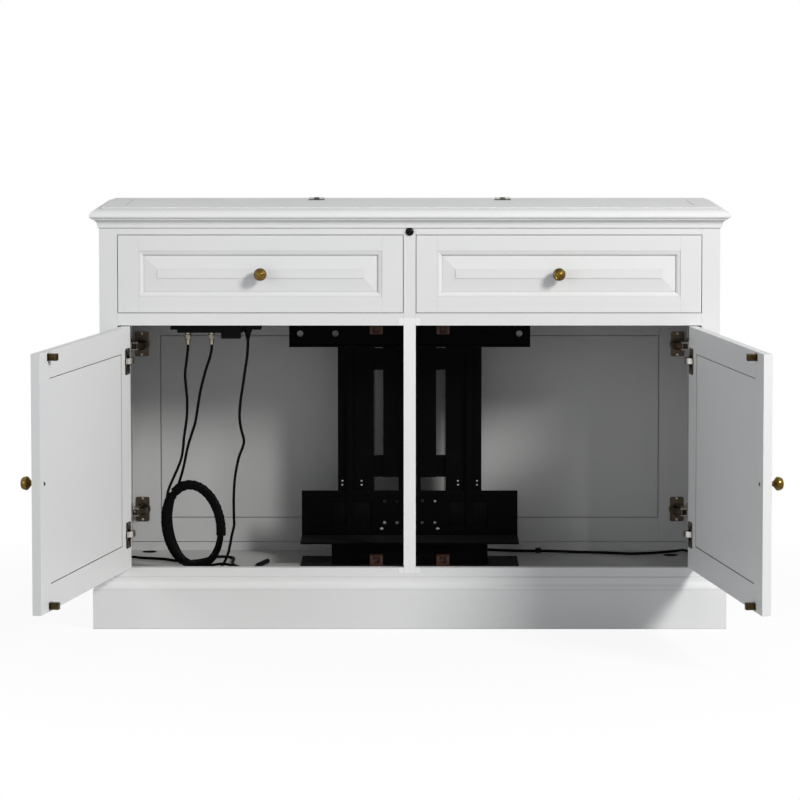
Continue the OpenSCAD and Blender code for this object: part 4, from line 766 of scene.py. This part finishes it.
# Finishes of the frame's own solids
FINISH = {
    "case": "plinth base_moulding hinge_blocks",
    "wide": "drawer_deck bay_divider back_panels left_drawer_front right_drawer_front",
    "top": "lid top_border",
    "upright": "case_sides front_frame back_frame",
    "doors": "left_door_frame left_door_panel right_door_frame right_door_panel "
             "rear_left_door rear_right_door",
    "wood": "left_drawer_box right_drawer_box",
    # the rear doors' links take the darker bronze, partly their own metal and partly painted shade for where
    # they stand inside the case
    "bronze": "left_door_hinges right_door_hinges rear_left_hinges rear_right_hinges "
              "rear_left_links rear_right_links",
    "nickel": "hinge_arms left_door_links right_door_links",
    "strike": "left_door_strikes right_door_strikes",
    "leaf": "lid_hinge_leaves",
    "floor": "floor_board",
    "crown": "crown_moulding",
    "catch": "catch_bodies",
    "hinge_steel": "lid_hinge_knuckles",
    "black": "lift_base_plate lift_columns lift_mast lift_carriage lift_crossbar",
    "motor": "lift_actuator",
    "box": "control_box",
    "eye": "ir_eye",
    "plug": "lead_clip",
}
for key, names in FINISH.items():
    for name in names.split():
        mesh = nodes[name].data
        mesh.materials.clear()
        mesh.materials.append(mat[key])

SHARP_EDGE = 32


def eased(name, width):
    """Small rounding of a node's sharp edges."""
    ease = nodes[name].modifiers.new("eased_edges", "BEVEL")
    ease.width = width / 1000
    ease.segments = 2
    ease.limit_method = "ANGLE"
    ease.angle_limit = math.radians(SHARP_EDGE)
    ease.harden_normals = True
    ease.use_clamp_overlap = True


EASED = {
    0.5: "front_frame back_frame left_door_frame right_door_frame lid top_border plinth base_moulding "
         "crown_moulding control_box catch_bodies left_drawer_box right_drawer_box hinge_blocks",
    0.4: "lift_columns lift_mast lift_carriage lift_crossbar lift_base_plate lift_actuator",
}
for width, names in EASED.items():
    for name in names.split():
        eased(name, width)

# Turned knobs, each with its screw
KNOB = [(0, 0), (8.8, 0), (9.2, 0.3), (9.2, 1.4), (8.6, 2.1), (7.0, 3.2), (5.8, 4.8), (5.0, 6.8),
        (4.9, 8.2), (5.4, 9.5), (6.6, 10.8), (8.2, 12.1), (9.8, 13.4), (11.4, 14.7), (12.8, 15.9),
        (13.7, 17.0), (14, 18.3), (13.95, 20.2), (13.6, 22.2), (13.1, 24.2), (12.4, 25.9), (11.5, 27.3),
        (10.6, 28.3), (9.9, 28.8), (9.3, 28.8), (8.7, 28.4), (8.1, 28.2), (7.5, 28.3), (7.0, 28.7),
        (6.5, 29.4), (5.9, 30.05), (4.8, 30.6), (3.6, 30.9), (1.8, 31), (0, 31)]


def knob_piece(name, body, node, x, z, y=-HALF_D, through=DOOR_T, place=None):
    """A knob on a front face; its screw goes back through a board of the given thickness."""
    made = Shape()
    made.lathe(KNOB, facing((x, y, z), FRONT), 64, mat["brass"])
    made.lathe([(0, -0.2), (2.2, -0.2), (2.2, through + 0.2), (0, through + 0.2)], facing((x, y, z), BACK),
               24, mat["zinc"])
    made.screw((x, y + through, z), BACK, 3.9, 1.6, material=mat["dark_screw"], turn=0.4)
    knob = made.done(name, body, mat["brass"], 40, place)
    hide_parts(node)


for body, place in DOORS.items():
    knob_piece(body + "_turned_knob", body, body + "_knob", KNOB_X, KNOB_Z, place=place)
for side, label in ((-1, "left"), (1, "right")):
    knob_piece(label + "_drawer_turned_knob", label + "_drawer", label + "_drawer_knob",
               side * DRAWER_KNOB_X, DRAWER_KNOB_Z, DRAWER_FACE, DRAWER_FRONT_T)

# Door furniture: screws of the hinge flanges, and the round cap in each cup
for body, place in DOORS.items():
    made = Shape()
    for z in HINGE_ZS:
        for end in (-1, 1):
            made.screw((CUP_X, DOOR_BACK + 0.75, z + end * 24), BACK, 3.0, 1.1, material=mat["nickel"],
                       turn=0.3 + end)
        made.lathe([(0, 0), (9.5, 0), (9.5, 0.5), (0, 0.5)], facing((CUP_X - 1, DOOR_BACK - 9.6, z), BACK),
                   40, mat["bronze"])
    made.done(body + "_hardware_screws", body, mat["nickel"], 40, place)

# Strikes on the front doors: a ribbed block each, slim enough for the mouth of its catch
RIB_PITCH = 4.4
for body in ("left_door", "right_door"):
    made = Shape()
    for z in STRIKE_ZS:
        made.slab((STRIKE_X - 6.6, DOOR_BACK, z - 7.1), (STRIKE_X + 6.6, STRIKE_TIP, z + 7.1), 0.8)
        for k in range(4):
            y = DOOR_BACK + 2.2 + RIB_PITCH * k
            made.slab((STRIKE_X - 7.1, y, z - 6.6), (STRIKE_X + 7.1, y + RIB_PITCH / 2, z + 6.6), 0.4)
        made.slab((STRIKE_X - 9.5, DOOR_BACK, z - 7.1), (STRIKE_X + 9.5, DOOR_BACK + 1.2, z + 7.1), 0.3)
        for end in (-1, 1):
            made.screw((STRIKE_X + end * 8.2, DOOR_BACK + 1.2, z), BACK, 1.2, 0.5)
    strikes = made.done(body + "_ribbed_strikes", body, mat["strike"], 34, DOORS[body])
    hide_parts(body + "_strikes")

# Magnets deep in the mouths of the catches, with two pole plates each
made = Shape()
for sx in (-1, 1):
    x = sx * STRIKE_X
    for z in STRIKE_ZS:
        made.slab((x - 7.7, MAGNET_FACE, z - 7.7), (x + 7.7, MAGNET_FACE + 11.6, z + 7.7), 0.3)
        for low, high in ((-4.5, -0.8), (0.8, 4.5)):
            made.slab((x - 5.5, MAGNET_FACE - 0.6, z + low), (x + 5.5, MAGNET_FACE + 0.6, z + high), 0.3)
made.done("catch_magnets", CASE_BODY, mat["magnet"], 34)

# Screws of the hinge plates on their blocks, with the cam that sets the door's depth
made = Shape()
for sx in (-1, 1):
    for sy in (-1, 1):
        for z in HINGE_ZS:
            for end in (-1, 1):
                made.screw((sx * BLOCK_FACE_X, sy * -122, z + end * 11.5), (-sx, 0, 0), 3.1, 1.1,
                           turn=end * 0.5)
            made.screw((sx * 626.8, sy * -150, z + 12.2), (-sx, 0, 0), 2.4, 1.0, turn=1.1)
made.done("hinge_plate_screws", CASE_BODY, mat["nickel"], 40)

# Lift: screw heads and bolt heads where the photograph shows them, bright or blackened
made = Shape()
for sx in (-1, 1):
    for x in (107.4, 150.2):
        for z in (280.8, 289.7):
            made.screw((sx * x, COLUMN_FACE + 0.2, z), FRONT, 2.1, 1.0, material=mat["zinc"], turn=x + z)
for x in (-137.3, 121.0):
    made.screw((x, COLUMN_FACE + 0.2, 284.6), FRONT, 2.2, 0.9, material=mat["black"], turn=0.4)
made.done("column_screws", CASE_BODY, mat["zinc"], 40)

# On the carriage: screws, an oval bolt a side, six bolt heads round each window and a plate behind it,
# and the plug that fills the crossbar's spare hole
BOLT_HEAD = [(0, -0.4), (4.9, -0.4), (4.9, 0.3), (4.2, 1.1), (2.6, 1.8), (1.7, 1.9), (1.7, 1.0), (0, 1.0)]
HOLE_PLUG = [(0, 0), (6.9, 0), (6.9, 2.2), (6.2, 2.6), (0, 2.6)]
made = Shape()
for sx in (-1, 1):
    for x, z, key in ((56, 197, "zinc"), (28, 197, "dull"), (28, 245, "black"),
                      (56, 245, "zinc" if sx > 0 else "black")):
        made.screw((sx * x, PLATE_FACE - 0.4, z), FRONT, 2.2, 1.5, material=mat[key], turn=x + z)
    made.prism([(3.9 * c, 2.4 * s) for c, s in circle(28)], -0.4, 1.7,
               facing((sx * 62.5, PLATE_FACE, 184), FRONT), mat["zinc"], 0.5)
    for x in (93, 127.6, 162.4):
        for z in (174, 260):
            made.lathe(BOLT_HEAD, facing((sx * x, PLATE_FACE, z), FRONT), 32, mat["black"])
    made.slab((sx * WINDOW_X - WINDOW_HALF_W, PLATE_FACE + 3.2, 186),
              (sx * WINDOW_X + WINDOW_HALF_W, PLATE_FACE + 4.6, 248), 0.3, None, mat["motor"])
made.lathe(HOLE_PLUG, facing(SPARE_HOLE, FRONT), 40, mat["black"])
made.done("carriage_fixings", "carriage", mat["zinc"], 40)

# Screws that hold the base plate to the floor
made = Shape()
for sx in (-1, 1):
    for y in (-88, 58):
        made.screw((sx * 226.5, y, Z_PLATE - 0.6), UP, 4.6, 1.8, material=mat["black"], turn=sx + y)
made.done("base_plate_screws", CASE_BODY, mat["black"], 40)

# Black sleeves in the spare cable holes of the floor board
made = Shape()
for x, y in CABLE_HOLES:
    ring = [Vector((x + SLEEVE_R * c, y + SLEEVE_R * s, Z_FLOOR - 8.2)) for c, s in circle(48)]
    made.sweep(ring, [(-0.7, -8), (0.7, -8), (0.7, 8), (-0.7, 8)], [UP] * len(ring), closed=True)
made.done("floor_grommets", CASE_BODY, mat["plug"], 40)

# Screws of the lid's hinge leaves
for body, way in (("lid", -1), (CASE_BODY, 1)):
    made = Shape()
    for sx in (-1, 1):
        for dx in (-11, 11):
            made.screw((sx * LID_HINGE_X + dx, LID_PIN_Y + way * 9.2, LEAF_TOP - 0.1), UP, 2.4, 0.7,
                       turn=dx + way)
    made.done(body + "_leaf_screws", body, mat["leaf"], 40)


# Floor, world and lamps
def camera_seen(tree):
    """1 for rays that show the background: from the camera, or off metal and glass."""
    rays = put_node(tree, "ShaderNodeLightPath").outputs
    total = rays["Is Camera Ray"]
    for name in ("Is Glossy Ray", "Is Transmission Ray"):
        total = put_node(tree, "ShaderNodeMath", {0: total, 1: rays[name]}, operation="MAXIMUM").outputs[0]
    return total


def scaled(tree, value, from_min, from_max, to_min, to_max):
    made = put_node(tree, "ShaderNodeMapRange", {"Value": value, "From Min": from_min, "From Max": from_max,
                                                 "To Min": to_min, "To Max": to_max})
    return made.outputs[0]


def blended(tree, fac, a, b):
    return put_node(tree, "ShaderNodeMixShader", {0: fac, 1: a.outputs[0], 2: b.outputs[0]})


# The floor is white to the camera and keeps the object's shadow; it lights the object as a mid grey would
FLOOR_CORNERS = [(-20, -14, 0), (20, -14, 0), (20, 26, 0), (-20, 26, 0)]
MID_GREY = (0.42, 0.42, 0.42, 1)
NEAR_WHITE = (0.95, 0.95, 0.95, 1)
PURE_WHITE = (1, 1, 1, 1)
BLACK = (0, 0, 0, 1)
COOL_SKY = (0.94, 0.97, 1.0, 1)
floor_mesh = bpy.data.meshes.new("floor")
floor_mesh.from_pydata(FLOOR_CORNERS, [], [(0, 1, 2, 3)])
floor = scene_object("floor", floor_mesh)
floor_mat = bpy.data.materials.new("pale_floor")
floor_mat.use_nodes = True
tree = floor_mat.node_tree
pale = tree.nodes["Principled BSDF"]
pale.inputs["Base Color"].default_value = MID_GREY
pale.inputs["Roughness"].default_value = 0.9
shadowed = put_node(tree, "ShaderNodeBsdfDiffuse", {"Color": NEAR_WHITE})
glow = put_node(tree, "ShaderNodeEmission", {"Color": PURE_WHITE, "Strength": 1.0})
where = put_node(tree, "ShaderNodeTexCoord").outputs["Object"]
away = put_node(tree, "ShaderNodeVectorMath", {0: where}, operation="LENGTH").outputs["Value"]
seen_floor = blended(tree, scaled(tree, away, 0.55, 1.5, 0.9, 1.0), shadowed, glow)
whole = blended(tree, camera_seen(tree), pale, seen_floor)
tree.links.new(whole.outputs[0], tree.nodes["Material Output"].inputs["Surface"])
floor_mesh.materials.append(floor_mat)

# The sky is brightest near the horizon and dimmer overhead, and plain white to the camera
world = bpy.data.worlds.new("studio")
bpy.context.scene.world = world
world.use_nodes = True
tree = world.node_tree
where = put_node(tree, "ShaderNodeTexCoord").outputs["Generated"]
height = put_node(tree, "ShaderNodeSeparateXYZ", {0: where}).outputs["Z"]
sky = put_node(tree, "ShaderNodeMixRGB", {"Fac": scaled(tree, height, 0.15, 0.9, 1.0, 0.3),
                                          "Color1": BLACK, "Color2": COOL_SKY})
soft = tree.nodes["Background"]
soft.inputs["Strength"].default_value = 0.43
tree.links.new(sky.outputs[0], soft.inputs["Color"])
white = put_node(tree, "ShaderNodeBackground", {"Color": PURE_WHITE, "Strength": 1.0})
tree.links.new(blended(tree, camera_seen(tree), soft, white).outputs[0],
               tree.nodes["World Output"].inputs["Surface"])


def lamp(name, at, target, size, power, color):
    data = bpy.data.lights.new(name, "AREA")
    data.shape = "RECTANGLE"
    data.size = size
    data.size_y = size
    data.energy = power
    data.color = color
    made = scene_object(name, data)
    made.location = at
    made.rotation_euler = (Vector(target) - Vector(at)).to_track_quat("-Z", "Y").to_euler()


DOORWAY = (0.0, -0.19, 0.45)
lamp("key", (3.53, -3.83, 3.34), DOORWAY, 1.2, 246, (1.0, 0.99, 0.975))
lamp("fill", (-3.6, -3.2, 1.6), DOORWAY, 2.0, 33, (0.98, 0.99, 1.0))

bpy.context.scene.view_settings.view_transform = "Standard"

bpy.context.view_layer.update()
